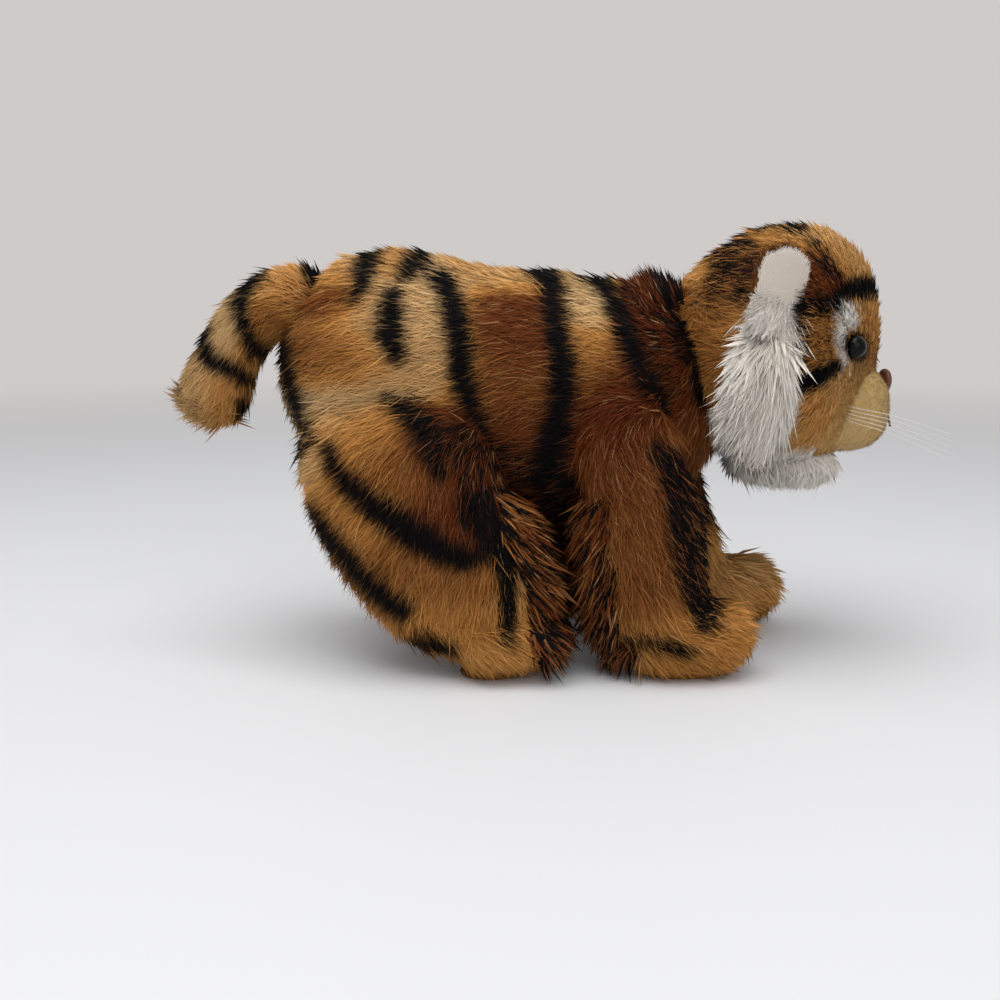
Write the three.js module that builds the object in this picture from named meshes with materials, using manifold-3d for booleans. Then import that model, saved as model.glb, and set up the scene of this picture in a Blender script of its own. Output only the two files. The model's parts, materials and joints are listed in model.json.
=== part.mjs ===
// A plush tiger cub that stands on four legs: long-pile skins sewn round stuffed
// forms, with a short-pile muzzle, bead eyes on washers, and nylon whiskers.
// Millimetres. +X is the way the cub looks, +Y its left side, +Z up.
// The origin is on the ground, below the middle of its length.
import * as THREE from 'three';
import { mergeVertices } from 'three/addons/utils/BufferGeometryUtils.js';
import Module from 'manifold-3d';

const wasm = await Module();
wasm.setup();

// Cloth, clearances and smoothness
const plushThickness = 5; // backing and the lower half of the pile
const fitGap = 0.3; // left between pieces that touch
const overrun = 400; // how far a cutting block reaches past what it cuts
const sweepStep = 8; // degrees between the places in which a turning leg or tail is cleared
const nodStep = 2; // the same for the head, whose tufts lie close to the chest
// Faces round and along a form, outside and then inside the cloth
const torsoFaces = { outside: [18, 6, 3], inside: [12, 3, 2] };
const limbFaces = { outside: [12, 3, 3], inside: [8, 3, 2] };
const smallFaces = { outside: [12, 1, 2], inside: [8, 1, 2] };
const pawFaces = { outside: [12, 2, 3], inside: [8, 1, 2] };
const headFaces = { outside: [18, 5, 5], inside: [12, 3, 3] };
const padSides = 14;

// Torso
const torsoLength = 165;
const torsoDepth = 92; // belly to back at the haunch
const torsoWidth = 80;
const torsoMiddleHeight = 103;
const rumpX = -81;
const bellyPanelWidth = 30;
const bellySeamZ = 80; // the panel's seams run at this height at its ends
// along, rise of the middle, half depth, half width
const torsoShares = [
  [0, 0, 0.37, 0.4],
  [0.127, 0.005, 0.462, 0.475],
  [0.26, -0.004, 0.51, 0.5],
  [0.4, -0.075, 0.53, 0.488],
  [0.55, -0.115, 0.539, 0.475],
  [0.7, -0.1, 0.524, 0.475],
  [0.84, -0.024, 0.438, 0.45],
  [0.93, 0.033, 0.402, 0.41],
  [1, 0.054, 0.326, 0.35],
];
const torsoRoundShares = [0.2, 0.2]; // of its length, rounded at the rump and the chest

// Head: a ball behind, drawn in to a narrow face in front
const headRadius = 44;
const neckSlack = 0.8; // between the head's ball and the hollow it fills in the neck
const headWidth = 86;
const faceDepth = 33; // from the middle of the ball to the bridge of the nose
const headX = 106;
const headZ = 112;
const faceHeightPower = 2.2;
const faceWidthPower = 1.2;
const crownWidth = 26;
const crownLowerZ = 96;

// Muzzle, nose, chin and cheeks
const muzzleLength = 38;
const muzzleWidth = 45;
const muzzleHeight = 36;
const muzzleX = 123;
const muzzleZ = 91;
const noseWidth = 13;
const noseHeight = 9;
const noseDepth = 4.5;
const noseZ = 99.5;
const chinLength = 46;
const chinWidth = 46;
const chinDepth = 24;
const chinX = 103;
const chinZ = 73;
const ruffLength = 52;
const ruffBreadth = 30; // front to back
const ruffThickness = 18;
const ruffRoundShares = [0.3, 0.42]; // rounded above and below
const ruffRowShares = [0.5, 0.17, -0.17, -0.5]; // of its length, above and below its middle
const ruffBowShare = 0.12; // of its thickness, outward at its middle
const ruffX = 92;
const ruffZ = 98;
const ruffY = 37;
const ruffLean = 8; // the top of the ruff stands this much further back
const whiskerRadius = 0.3;
// Half a whisker from its tip inward: shares of its reach, of its spread, of its droop and
// of its place in the fan
const whiskerTipShares = [1, 1, 1, 0.5];
const whiskerMiddleShares = [0.45, 0.5, 0.35, 0.2];
// Where it enters the muzzle, passes inside it and crosses the middle: shares of the
// muzzle's length behind its front, and of its half width
const whiskerRootShares = [0.56, 0.96];
const whiskerInnerShares = [0.12, 0.5];
const whiskerCrossingShares = [0.05, 0];
const whiskerReach = 31; // ahead of where it leaves the muzzle
const whiskerSpread = 17; // outward from there
const whiskerDroop = 10;
const whiskerSides = 4;
const whiskerSteps = 12;
const whiskerPitch = 1.2; // height between one whisker and the next
const whiskerCount = 5;
const whiskerMiddleZ = 90.5;

// Eyes: a bead with a stem, held inside by a washer
const eyeRadius = 4.8;
const eyeDome = 3.4;
const eyeSink = 1.6; // how deep the bead's rim sits in the cloth
const eyeRim = 1;
const stemRadius = 1.5;
const stemLength = 13;
const washerRadius = 6.5;
const washerThickness = 1.5;
const washerSink = 2.2; // below the cloth, because the face curves away over the disc
const eyeX = 122;
const eyeZ = 113.5;
const roundSides = 12;
const domeRings = 5;

// Ears
const earWidth = 21;
const earHeight = 22;
const earThickness = 5;
const earFacingThickness = 2.2;
const earX = 92;
const earZ = 124;
const earY = 37.5;
const earRoundShares = [0.2, 0.5]; // rounded at the root and at the tip
const earRowShares = [0, 0.34, 0.67, 1]; // of its height, from the root
const earLean = 4; // the tip stands further out and forward than the root
const earTurn = 25; // degrees that the open side looks forward
const earRimShare = 0.92; // the facing's size against the ear's

// Legs
const legTrack = 34; // from the middle of the cub to the middle of a leg
const frontLegDepth = 46;
const frontLegWidth = 36;
const shoulderX = 42;
const shoulderZ = 95;
const leftStride = 23; // how far the left front paw stands ahead of the right one
const leftHindStride = 14; // the same for the left hind paw
// forward, drop, half depth, half width, and how far the middle leans to the body
const frontLegShares = [
  [-0.04, -0.24, 0.42, 0.4, 0.34],
  [0, 0, 0.45, 0.46, 0.22],
  [0.06, 0.23, 0.467, 0.486, 0.08],
  [0.17, 0.47, 0.5, 0.5, 0],
  [0.21, 0.7, 0.48, 0.5, 0],
  [0.23, 0.9, 0.46, 0.49, 0],
];
const hindLegDepth = 82;
const hindLegWidth = 40;
const hipX = -34;
const hipZ = 74;
const hindLegShares = [
  [0, -0.54, 0.46, 0.46, 0.4],
  [0, -0.2, 0.49, 0.5, 0.24],
  [0.05, 0.2, 0.45, 0.5, 0.08],
  [0.2, 0.5, 0.43, 0.47, 0],
  [0.35, 0.76, 0.35, 0.45, 0],
  [0.34, 0.9, 0.28, 0.43, 0],
];
const legRoundShares = [0.34, 0.1]; // rounded at the top and in the paw
const pawHeight = 27;
const pawSink = 0.5; // the flat cut under each foot
const soleThickness = 2;
const frontPawLength = 54;
const frontPawHeelX = 36;
const hindPawLength = 48;
const hindPawHeelX = -28;
// along, rise of the middle, half height, half width
const pawShares = [
  [0, 0.04, 0.5, 0.46],
  [0.45, 0.12, 0.62, 0.52],
  [1, -0.01, 0.47, 0.5],
];
const pawRoundShares = [0.34, 0.32];

// Tail: along and rise from its root, then its half thickness twice
const tailReach = 55;
const tailRootX = -58;
const tailRootZ = 127;
const tailThickness = 28.5;
const tailShares = [
  [0, 0, 0.48, 0.48],
  [-0.31, 0.03, 0.5, 0.5],
  [-0.55, -0.09, 0.48, 0.48],
  [-0.71, -0.31, 0.47, 0.46],
  [-0.82, -0.55, 0.51, 0.47],
  [-0.88, -0.77, 0.48, 0.47],
];
const tailRoundShares = [0.2, 0.16];
const tailHingeX = -67;
const tailHingeZ = 127;

// How far the sewn seams give, in degrees
const nodRange = [-15, 10];
const tailRange = [-15, 25];
const rightFrontRange = [-3, 15];
const leftFrontRange = [-7, 4];
const hindRange = [-20, 4];

// Colours
const flankPlush = [0xa9762f, 0.95];
const rustPlush = [0x8f4a16, 0.95];
const orangePlush = [0xb8701f, 0.95];
const whitePlush = [0xe9e4da, 0.95];
const shortPlush = [0xcbab72, 0.9];
const fibreFill = [0xf2f1ec, 1];
const beadBlack = [0x0b0b0c, 0.08];
const washerWhite = [0xdcdcd8, 0.5];
const noseThread = [0x6b4030, 0.7];
const nylonClear = [0xf1f1ee, 0.25];

const upright = new THREE.Vector3(0, 0, 1);
const sideways = new THREE.Vector3(0, 1, 0);
const cub = new THREE.Group();

// A solid from a three.js geometry whose shared corners are merged
function solidOf(geometry) {
  const bare = geometry.clone();
  bare.deleteAttribute('normal');
  bare.deleteAttribute('uv');
  const merged = mergeVertices(bare);
  const vertProperties = new Float32Array(merged.attributes.position.array);
  const triVerts = new Uint32Array(merged.index.array);
  return new wasm.Manifold(new wasm.Mesh({ numProp: 3, vertProperties, triVerts }));
}

// A cut can leave a crumb beside the piece: the piece is the largest body
function largestBody(solid) {
  return solid.decompose().reduce((best, body) => (body.volume() > best.volume() ? body : best));
}

// Puts a finished solid into the cub as a named mesh
function addPiece(name, solid, [colour, roughness]) {
  const shape = largestBody(solid).getMesh();
  const geometry = new THREE.BufferGeometry();
  const places = new Float32Array(shape.vertProperties);
  geometry.setAttribute('position', new THREE.BufferAttribute(places, shape.numProp));
  geometry.setIndex(new THREE.BufferAttribute(new Uint32Array(shape.triVerts), 1));
  geometry.computeVertexNormals();
  const material = new THREE.MeshStandardMaterial({ color: colour, roughness, metalness: 0 });
  const mesh = new THREE.Mesh(geometry, material);
  mesh.name = name;
  cub.add(mesh);
  return mesh;
}

// A closed form through rings, each with a centre, two half sizes and their directions
function formThrough(rings, startPole, endPole, sides) {
  const points = [startPole.x, startPole.y, startPole.z];
  for (const ring of rings) {
    for (let j = 0; j < sides; j += 1) {
      const angle = (2 * Math.PI * j) / sides;
      const point = ring.centre.clone();
      point.addScaledVector(ring.across, ring.halfWidth * Math.cos(angle));
      point.addScaledVector(ring.over, ring.halfDepth * Math.sin(angle));
      points.push(point.x, point.y, point.z);
    }
  }
  points.push(endPole.x, endPole.y, endPole.z);
  const last = points.length / 3 - 1;
  const faces = [];
  for (let j = 0; j < sides; j += 1) {
    const next = (j + 1) % sides;
    faces.push(0, 1 + next, 1 + j);
    for (let i = 0; i < rings.length - 1; i += 1) {
      const here = 1 + i * sides;
      const ahead = here + sides;
      faces.push(here + j, here + next, ahead + j);
      faces.push(here + next, ahead + next, ahead + j);
    }
    faces.push(last, last - sides + j, last - sides + next);
  }
  const geometry = new THREE.BufferGeometry();
  geometry.setAttribute('position', new THREE.Float32BufferAttribute(points, 3));
  geometry.setIndex(faces);
  return solidOf(geometry);
}

// Where the rings stand along a form: close together on its round ends
function ringPlaces(middleRings, capRings, startRound, endRound) {
  const places = [];
  for (let k = 1; k <= capRings; k += 1) {
    places.push(startRound * (1 - Math.cos((Math.PI * k) / (2 * capRings))));
  }
  for (let k = 1; k <= middleRings; k += 1) {
    places.push(startRound + ((1 - startRound - endRound) * k) / middleRings);
  }
  for (let k = capRings - 1; k >= 1; k -= 1) {
    places.push(1 - endRound * (1 - Math.cos((Math.PI * k) / (2 * capRings))));
  }
  return places;
}

// How full a form is at a place along it: 1 in the middle, 0 at its round ends
function fullness(place, startRound, endRound) {
  const before = Math.max(0, 1 - place / startRound);
  const after = Math.max(0, 1 - (1 - place) / endRound);
  return Math.sqrt(Math.max(0, 1 - before * before - after * after));
}

// A stuffed form along a curved middle line; inset shrinks it all round
function stuffedForm(options) {
  const { rows, across, round, inset, faces } = options;
  const [sides, middleRings, capRings] = inset > 0 ? faces.inside : faces.outside;
  const line = new THREE.CatmullRomCurve3(rows.map((row) => row.centre));
  const sizes = new THREE.CatmullRomCurve3(
    rows.map((row) => new THREE.Vector3(row.halfDepth, row.halfWidth, 0)),
  );
  const length = line.getLength();
  const trim = inset / length;
  const ringAt = (place) => {
    const reached = trim + place * (1 - 2 * trim);
    const held = Math.min(1, Math.max(0, reached));
    const t = line.getUtoTmapping(held);
    const full = fullness(place, ...round);
    const size = sizes.getPoint(t);
    const forward = line.getTangent(t);
    const centre = line.getPoint(t).addScaledVector(forward, (reached - held) * length);
    return {
      centre,
      across,
      over: new THREE.Vector3().crossVectors(forward, across).normalize(),
      halfDepth: (size.x - inset) * full,
      halfWidth: (size.y - inset) * full,
    };
  };
  const rings = ringPlaces(middleRings, capRings, ...round).map(ringAt);
  return formThrough(rings, ringAt(0).centre, ringAt(1).centre, sides);
}

// The part of a solid between two heights, widths or lengths
function blockBetween(low, high) {
  const size = new THREE.Vector3().subVectors(high, low);
  const block = new THREE.BoxGeometry(size.x, size.y, size.z);
  block.translate((low.x + high.x) / 2, (low.y + high.y) / 2, (low.z + high.z) / 2);
  return solidOf(block);
}

// Everything on one side of the plane y = edge; side is 1 for the left, -1 for the right
function halfSpace(side, edge) {
  const near = Math.min(side * edge, side * overrun);
  const far = Math.max(side * edge, side * overrun);
  return blockBetween(
    new THREE.Vector3(-overrun, near, -overrun),
    new THREE.Vector3(overrun, far, overrun),
  );
}

// Everything above a height
function above(height) {
  return blockBetween(
    new THREE.Vector3(-overrun, -overrun, height),
    new THREE.Vector3(overrun, overrun, overrun),
  );
}

// A fixed solid as a piece sees it that turns through a range about a crosswise hinge
function sweptPast(solid, hingeX, hingeZ, [lowest, highest], sense, step) {
  const steps = Math.ceil((highest - lowest) / step);
  let swept = null;
  for (let k = 0; k <= steps; k += 1) {
    const turn = -sense * (lowest + ((highest - lowest) * k) / steps);
    const copy = solid
      .translate([-hingeX, 0, -hingeZ])
      .rotate([0, turn, 0])
      .translate([hingeX, 0, hingeZ]);
    swept = swept ? swept.add(copy) : copy;
  }
  return swept;
}

// Torso
function torsoForm(inset) {
  const rows = torsoShares.map(([along, rise, halfDepth, halfWidth]) => ({
    centre: new THREE.Vector3(
      rumpX + along * torsoLength,
      0,
      torsoMiddleHeight + rise * torsoDepth,
    ),
    halfDepth: halfDepth * torsoDepth,
    halfWidth: halfWidth * torsoWidth,
  }));
  return stuffedForm({
    rows,
    across: sideways,
    round: torsoRoundShares,
    inset,
    faces: torsoFaces,
  });
}

// Head ball with its drawn-in face; inset shrinks it all round
function headForm(inset) {
  const [sides, rearRings, frontRings] = inset > 0 ? headFaces.inside : headFaces.outside;
  const radius = headRadius - inset;
  const halfWidth = headWidth / 2 - inset;
  const depth = faceDepth - inset;
  const rings = [];
  const addRing = (x, high, wide) => {
    rings.push({
      centre: new THREE.Vector3(x, 0, headZ),
      across: sideways,
      over: upright,
      halfDepth: radius * high,
      halfWidth: halfWidth * wide,
    });
  };
  for (let k = 1; k <= rearRings; k += 1) {
    const angle = (Math.PI * k) / (2 * rearRings);
    addRing(headX - radius * Math.cos(angle), Math.sin(angle), Math.sin(angle));
  }
  for (let k = 1; k < frontRings; k += 1) {
    const place = 1 - (1 - k / frontRings) ** 2;
    addRing(headX + depth * place, faceFullness(place, faceHeightPower),
      faceFullness(place, faceWidthPower));
  }
  const back = new THREE.Vector3(headX - radius, 0, headZ);
  const front = new THREE.Vector3(headX + depth, 0, headZ);
  return formThrough(rings, back, front, sides);
}

// How full the face is at a share of its depth
function faceFullness(place, power) {
  return (1 - place ** power) ** (1 / power);
}

// The point of the head's surface at a length and a height, with the way it faces
function onFace(x, z, side) {
  const halfWidthAt = (atX, atZ) => {
    const place = Math.max(0, (atX - headX) / faceDepth);
    const high = headRadius * faceFullness(place, faceHeightPower);
    const wide = (headWidth / 2) * faceFullness(place, faceWidthPower);
    return wide * Math.sqrt(Math.max(0, 1 - ((atZ - headZ) / high) ** 2));
  };
  const step = fitGap;
  const here = halfWidthAt(x, z);
  const alongX = (halfWidthAt(x + step, z) - halfWidthAt(x - step, z)) / (2 * step);
  const alongZ = (halfWidthAt(x, z + step) - halfWidthAt(x, z - step)) / (2 * step);
  return {
    point: new THREE.Vector3(x, side * here, z),
    outward: new THREE.Vector3(-alongX, side, -alongZ).normalize(),
  };
}

// A ball-like form with three half sizes
function pad(centre, length, width, height, growth) {
  const geometry = new THREE.SphereGeometry(1, padSides, padSides / 2);
  geometry.scale(length / 2 + growth, width / 2 + growth, height / 2 + growth);
  geometry.translate(centre.x, centre.y, centre.z);
  return solidOf(geometry);
}

// The ball that the head's back fills in the neck
function neckHollow() {
  const [sides] = headFaces.outside;
  const ball = new THREE.SphereGeometry(headRadius + neckSlack, sides, sides);
  ball.rotateZ(Math.PI / 2);
  ball.translate(headX, 0, headZ);
  return solidOf(ball);
}

const neckBall = neckHollow();
const torsoOutside = torsoForm(0).subtract(neckBall);
const torsoGrown = torsoForm(-fitGap).subtract(neckBall);

// Side skins, belly panel and filling of the torso
function addTorso() {
  const lining = torsoForm(plushThickness);
  const skin = torsoOutside.subtract(lining);
  const panelEdge = bellyPanelWidth / 2;
  const strip = (halfBreadth) => blockBetween(
    new THREE.Vector3(-overrun, -halfBreadth, -overrun),
    new THREE.Vector3(overrun, halfBreadth, bellySeamZ),
  );
  addPiece('belly_panel', skin.intersect(strip(panelEdge)), rustPlush);
  for (const side of [-1, 1]) {
    const name = side < 0 ? 'body_skin_right' : 'body_skin_left';
    const half = skin.intersect(halfSpace(side, fitGap / 2));
    addPiece(name, half.subtract(strip(panelEdge + fitGap)), flankPlush);
  }
  const filling = torsoForm(plushThickness + fitGap).subtract(neckBall);
  addPiece('body_stuffing', filling, fibreFill);
}

// One eye and its washer: profiles turned about the eye's own axis
function eyeParts(side, growth) {
  const seat = onFace(eyeX, eyeZ, side);
  const turn = new THREE.Quaternion().setFromUnitVectors(sideways, seat.outward);
  const place = (profile) => {
    const points = profile.map(([r, h]) => new THREE.Vector2(r, h));
    const turned = new THREE.LatheGeometry(points, roundSides);
    turned.applyQuaternion(turn);
    turned.translate(seat.point.x, seat.point.y, seat.point.z);
    return solidOf(turned);
  };
  const rimTop = -eyeSink + growth;
  const rimFoot = -eyeSink - eyeRim - growth;
  const stemEnd = -stemLength - growth;
  const dome = [];
  for (let k = 0; k <= domeRings; k += 1) {
    const angle = (Math.PI * k) / (2 * domeRings);
    const radius = (eyeRadius + growth) * Math.cos(angle);
    dome.push([k === domeRings ? 0 : radius, rimTop + (eyeDome + eyeSink) * Math.sin(angle)]);
  }
  const eye = place([
    [0, stemEnd],
    [stemRadius + growth, stemEnd],
    [stemRadius + growth, rimFoot],
    [eyeRadius + growth, rimFoot],
    ...dome,
  ]);
  const washerTop = -plushThickness - washerSink + growth;
  const washerFoot = washerTop - washerThickness - 2 * growth;
  const bore = stemRadius + fitGap;
  const disc = [
    [washerRadius + growth, washerFoot],
    [washerRadius + growth, washerTop],
  ];
  const washer = growth > 0
    ? place([[0, washerFoot], ...disc, [0, washerTop]])
    : place([[bore, washerFoot], ...disc, [bore, washerTop], [bore, washerFoot]]);
  return { eye, washer };
}

// Filaments that run through the muzzle, one whisker to each side
function whiskerSolid(index, radius) {
  const height = whiskerMiddleZ + (index - (whiskerCount - 1) / 2) * whiskerPitch;
  const fan = (index - (whiskerCount - 1) / 2) / whiskerCount;
  const front = muzzleX + muzzleLength / 2;
  const halfWidth = muzzleWidth / 2;
  const inMuzzle = ([back, across]) => new THREE.Vector3(
    front - muzzleLength * back,
    halfWidth * across,
    height,
  );
  const root = inMuzzle(whiskerRootShares);
  const outside = ([out, across, down, spread]) => new THREE.Vector3(
    root.x + whiskerReach * out,
    halfWidth + whiskerSpread * across,
    height - whiskerDroop * down + fan * whiskerDroop * spread,
  );
  const half = [
    outside(whiskerTipShares),
    outside(whiskerMiddleShares),
    root,
    inMuzzle(whiskerInnerShares),
  ];
  const otherHalf = half.map((point) => new THREE.Vector3(point.x, -point.y, point.z));
  const path = new THREE.CatmullRomCurve3([
    ...half,
    inMuzzle(whiskerCrossingShares),
    ...otherHalf.reverse(),
  ]);
  const section = new THREE.Shape();
  for (let k = 0; k < whiskerSides; k += 1) {
    const angle = (2 * Math.PI * k) / whiskerSides;
    const x = radius * Math.cos(angle);
    const y = radius * Math.sin(angle);
    if (k === 0) {
      section.moveTo(x, y);
    } else {
      section.lineTo(x, y);
    }
  }
  section.closePath();
  const thread = new THREE.ExtrudeGeometry(section, {
    steps: whiskerSteps,
    bevelEnabled: false,
    extrudePath: path,
  });
  return solidOf(thread);
}

// Head: side skins, crown gusset, filling, eyes
const headGrown = headForm(-fitGap);
const torsoPastHead = sweptPast(torsoForm(-fitGap), headX, headZ, nodRange, 1, nodStep);

function addHead() {
  const skin = headForm(0).subtract(headForm(plushThickness));
  const crown = (halfBreadth, lower) => blockBetween(
    new THREE.Vector3(-overrun, -halfBreadth, lower),
    new THREE.Vector3(overrun, halfBreadth, overrun),
  );
  const gusset = skin.intersect(crown(crownWidth / 2, crownLowerZ));
  addPiece('crown_gusset', gusset, orangePlush);
  let filling = headForm(plushThickness + fitGap);
  for (const side of [-1, 1]) {
    const word = side < 0 ? 'right' : 'left';
    const real = eyeParts(side, 0);
    const room = eyeParts(side, fitGap);
    const half = skin.intersect(halfSpace(side, fitGap / 2));
    const cheek = half
      .subtract(crown(crownWidth / 2 + fitGap, crownLowerZ - fitGap))
      .subtract(room.eye);
    addPiece(`head_skin_${word}`, cheek, orangePlush);
    addPiece(`eye_${word}`, real.eye, beadBlack);
    addPiece(`eye_washer_${word}`, real.washer, washerWhite);
    filling = filling.subtract(room.eye).subtract(room.washer);
  }
  addPiece('head_stuffing', filling, fibreFill);
}

// Muzzle pads, nose and whiskers
function addMuzzle() {
  const centre = new THREE.Vector3(muzzleX, 0, muzzleZ);
  const whole = pad(centre, muzzleLength, muzzleWidth, muzzleHeight, 0).subtract(headGrown);
  const grown = pad(centre, muzzleLength, muzzleWidth, muzzleHeight, fitGap);
  let bores = null;
  for (let index = 0; index < whiskerCount; index += 1) {
    addPiece(`whisker_${index + 1}`, whiskerSolid(index, whiskerRadius), nylonClear);
    const bore = whiskerSolid(index, whiskerRadius + fitGap);
    bores = bores ? bores.add(bore) : bore;
  }
  for (const side of [-1, 1]) {
    const half = whole.intersect(halfSpace(side, fitGap / 2)).subtract(bores);
    addPiece(side < 0 ? 'muzzle_right' : 'muzzle_left', half, shortPlush);
  }
  const noseCentre = new THREE.Vector3(muzzleX + (muzzleLength - noseDepth) / 2, 0, noseZ);
  const nose = pad(noseCentre, noseDepth, noseWidth, noseHeight, 0);
  addPiece('nose', nose.subtract(grown).subtract(headGrown), noseThread);
}

// White chin tuft and cheek ruffs, cut by the head and kept clear of the neck
function addChinAndRuffs() {
  const chinCentre = new THREE.Vector3(chinX, 0, chinZ);
  const muzzleCentre = new THREE.Vector3(muzzleX, 0, muzzleZ);
  const muzzle = pad(muzzleCentre, muzzleLength, muzzleWidth, muzzleHeight, fitGap);
  const chin = pad(chinCentre, chinLength, chinWidth, chinDepth, 0)
    .subtract(headGrown)
    .subtract(torsoPastHead)
    .subtract(muzzle);
  addPiece('chin_tuft', chin, whitePlush);
  const chinGrown = pad(chinCentre, chinLength, chinWidth, chinDepth, fitGap);
  for (const side of [-1, 1]) {
    const line = ruffRowShares.map((share) => ({
      centre: new THREE.Vector3(
        ruffX - ruffLean * share,
        side * (ruffY + ruffThickness * ruffBowShare * (1 - (2 * share) ** 2)),
        ruffZ + ruffLength * share,
      ),
      halfDepth: ruffBreadth / 2,
      halfWidth: ruffThickness / 2,
    }));
    const ruff = stuffedForm({
      rows: line,
      across: sideways,
      round: ruffRoundShares,
      inset: 0,
      faces: smallFaces,
    });
    const name = side < 0 ? 'cheek_ruff_right' : 'cheek_ruff_left';
    const trimmed = ruff
      .subtract(headGrown)
      .subtract(torsoPastHead)
      .subtract(chinGrown)
      .subtract(earSolid(side, fitGap, 1));
    addPiece(name, trimmed, whitePlush);
  }
}

// An ear standing on the side of the head; scale is 1 for the ear, less for its facing
function earSolid(side, growth, scale) {
  const turn = (earTurn * Math.PI) / 180;
  const facing = new THREE.Vector3(Math.sin(turn), side * Math.cos(turn), 0);
  const thick = scale === 1 ? earThickness : earFacingThickness;
  const shift = scale === 1 ? 0 : (earThickness - earFacingThickness) / 2 + fitGap;
  const rows = earRowShares.map((share) => {
    const centre = new THREE.Vector3(
      earX + earLean * share * Math.sin(turn),
      side * (earY + earLean * share),
      earZ + (earHeight / 2) * (1 + (2 * share - 1) * scale),
    );
    centre.addScaledVector(facing, shift);
    return {
      centre,
      halfDepth: (earWidth / 2) * scale,
      halfWidth: thick / 2,
    };
  });
  return stuffedForm({
    rows,
    across: facing,
    round: earRoundShares,
    inset: -growth,
    faces: smallFaces,
  });
}

// Ears: a furry back with a white facing let into its open side
function addEars() {
  for (const side of [-1, 1]) {
    const word = side < 0 ? 'right' : 'left';
    const facing = earSolid(side, 0, earRimShare).subtract(headGrown);
    const back = earSolid(side, 0, 1)
      .subtract(headGrown)
      .subtract(earSolid(side, fitGap, earRimShare));
    addPiece(`ear_back_${word}`, back, orangePlush);
    addPiece(`ear_facing_${word}`, facing, whitePlush);
  }
}

// A leg's column, from shares of its depth, its width and the height of its hinge
function column(leg, inset) {
  const rows = leg.shares.map(([forward, drop, halfDepth, halfWidth, lean]) => ({
    centre: new THREE.Vector3(
      leg.hingeX + forward * leg.depth + drop * leg.stride,
      leg.side * (legTrack - lean * leg.width),
      leg.hingeZ * (1 - drop),
    ),
    halfDepth: halfDepth * leg.depth,
    halfWidth: halfWidth * leg.width,
  }));
  return stuffedForm({
    rows,
    across: sideways,
    round: legRoundShares,
    inset,
    faces: limbFaces,
  });
}

// A paw lying along the ground
function paw(leg, inset) {
  const rows = pawShares.map(([along, rise, halfHeight, halfWidth]) => ({
    centre: new THREE.Vector3(
      leg.heelX + leg.stride + along * leg.pawLength,
      leg.side * legTrack,
      (pawHeight / 2) * (1 + 2 * rise) - pawSink,
    ),
    halfDepth: halfHeight * pawHeight,
    halfWidth: halfWidth * leg.width,
  }));
  return stuffedForm({
    rows,
    across: sideways,
    round: pawRoundShares,
    inset,
    faces: pawFaces,
  });
}

function legForm(leg, inset) {
  return paw(leg, inset).add(column(leg, inset));
}

// Outer and inner skins, filling and sole of one leg, cleared of the torso as it swings
function addLeg(leg) {
  const torsoPast = sweptPast(torsoGrown, leg.hingeX, leg.hingeZ, leg.range, -1, sweepStep);
  const overSole = above(soleThickness + fitGap);
  const filling = legForm(leg, plushThickness + fitGap)
    .subtract(torsoPast)
    .intersect(overSole);
  const skin = legForm(leg, 0)
    .subtract(legForm(leg, plushThickness))
    .subtract(filling)
    .subtract(torsoPast)
    .intersect(overSole);
  const outerHalf = halfSpace(leg.side, legTrack + fitGap / 2);
  const innerHalf = halfSpace(-leg.side, -legTrack + fitGap / 2);
  addPiece(`${leg.name}_outer_skin`, skin.intersect(outerHalf), leg.look);
  addPiece(`${leg.name}_inner_skin`, skin.intersect(innerHalf), leg.look);
  addPiece(`${leg.name}_stuffing`, filling, fibreFill);
  const sole = paw(leg, 0).subtract(above(soleThickness)).intersect(above(0));
  addPiece(`${leg.name}_sole`, sole, leg.look);
}

function addLegs() {
  const front = {
    hingeX: shoulderX,
    hingeZ: shoulderZ,
    depth: frontLegDepth,
    width: frontLegWidth,
    shares: frontLegShares,
    heelX: frontPawHeelX,
    pawLength: frontPawLength,
    look: orangePlush,
  };
  const hind = {
    hingeX: hipX,
    hingeZ: hipZ,
    depth: hindLegDepth,
    width: hindLegWidth,
    shares: hindLegShares,
    heelX: hindPawHeelX,
    pawLength: hindPawLength,
    look: flankPlush,
  };
  addLeg({ ...front, name: 'front_leg_right', side: -1, stride: 0, range: rightFrontRange });
  addLeg({ ...front, name: 'front_leg_left', side: 1, stride: leftStride, range: leftFrontRange });
  addLeg({ ...hind, name: 'hind_leg_right', side: -1, stride: 0, range: hindRange });
  addLeg({ ...hind, name: 'hind_leg_left', side: 1, stride: leftHindStride, range: hindRange });
}

// Tail: two skin halves sewn along the top and bottom, and a filling
function tailForm(inset) {
  const rows = tailShares.map(([along, rise, halfDepth, halfWidth]) => ({
    centre: new THREE.Vector3(
      tailRootX + along * tailReach,
      0,
      tailRootZ + rise * tailReach,
    ),
    halfDepth: halfDepth * tailThickness,
    halfWidth: halfWidth * tailThickness,
  }));
  return stuffedForm({
    rows,
    across: sideways,
    round: tailRoundShares,
    inset,
    faces: limbFaces,
  });
}

function addTail() {
  const torsoPast = sweptPast(torsoGrown, tailHingeX, tailHingeZ, tailRange, 1, sweepStep);
  const skin = tailForm(0).subtract(tailForm(plushThickness)).subtract(torsoPast);
  addPiece('tail_skin_right', skin.intersect(halfSpace(-1, fitGap / 2)), orangePlush);
  addPiece('tail_skin_left', skin.intersect(halfSpace(1, fitGap / 2)), orangePlush);
  const filling = tailForm(plushThickness + fitGap).subtract(torsoPast);
  addPiece('tail_stuffing', filling, fibreFill);
}

addTorso();
addHead();
addMuzzle();
addChinAndRuffs();
addEars();
addLegs();
addTail();

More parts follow.
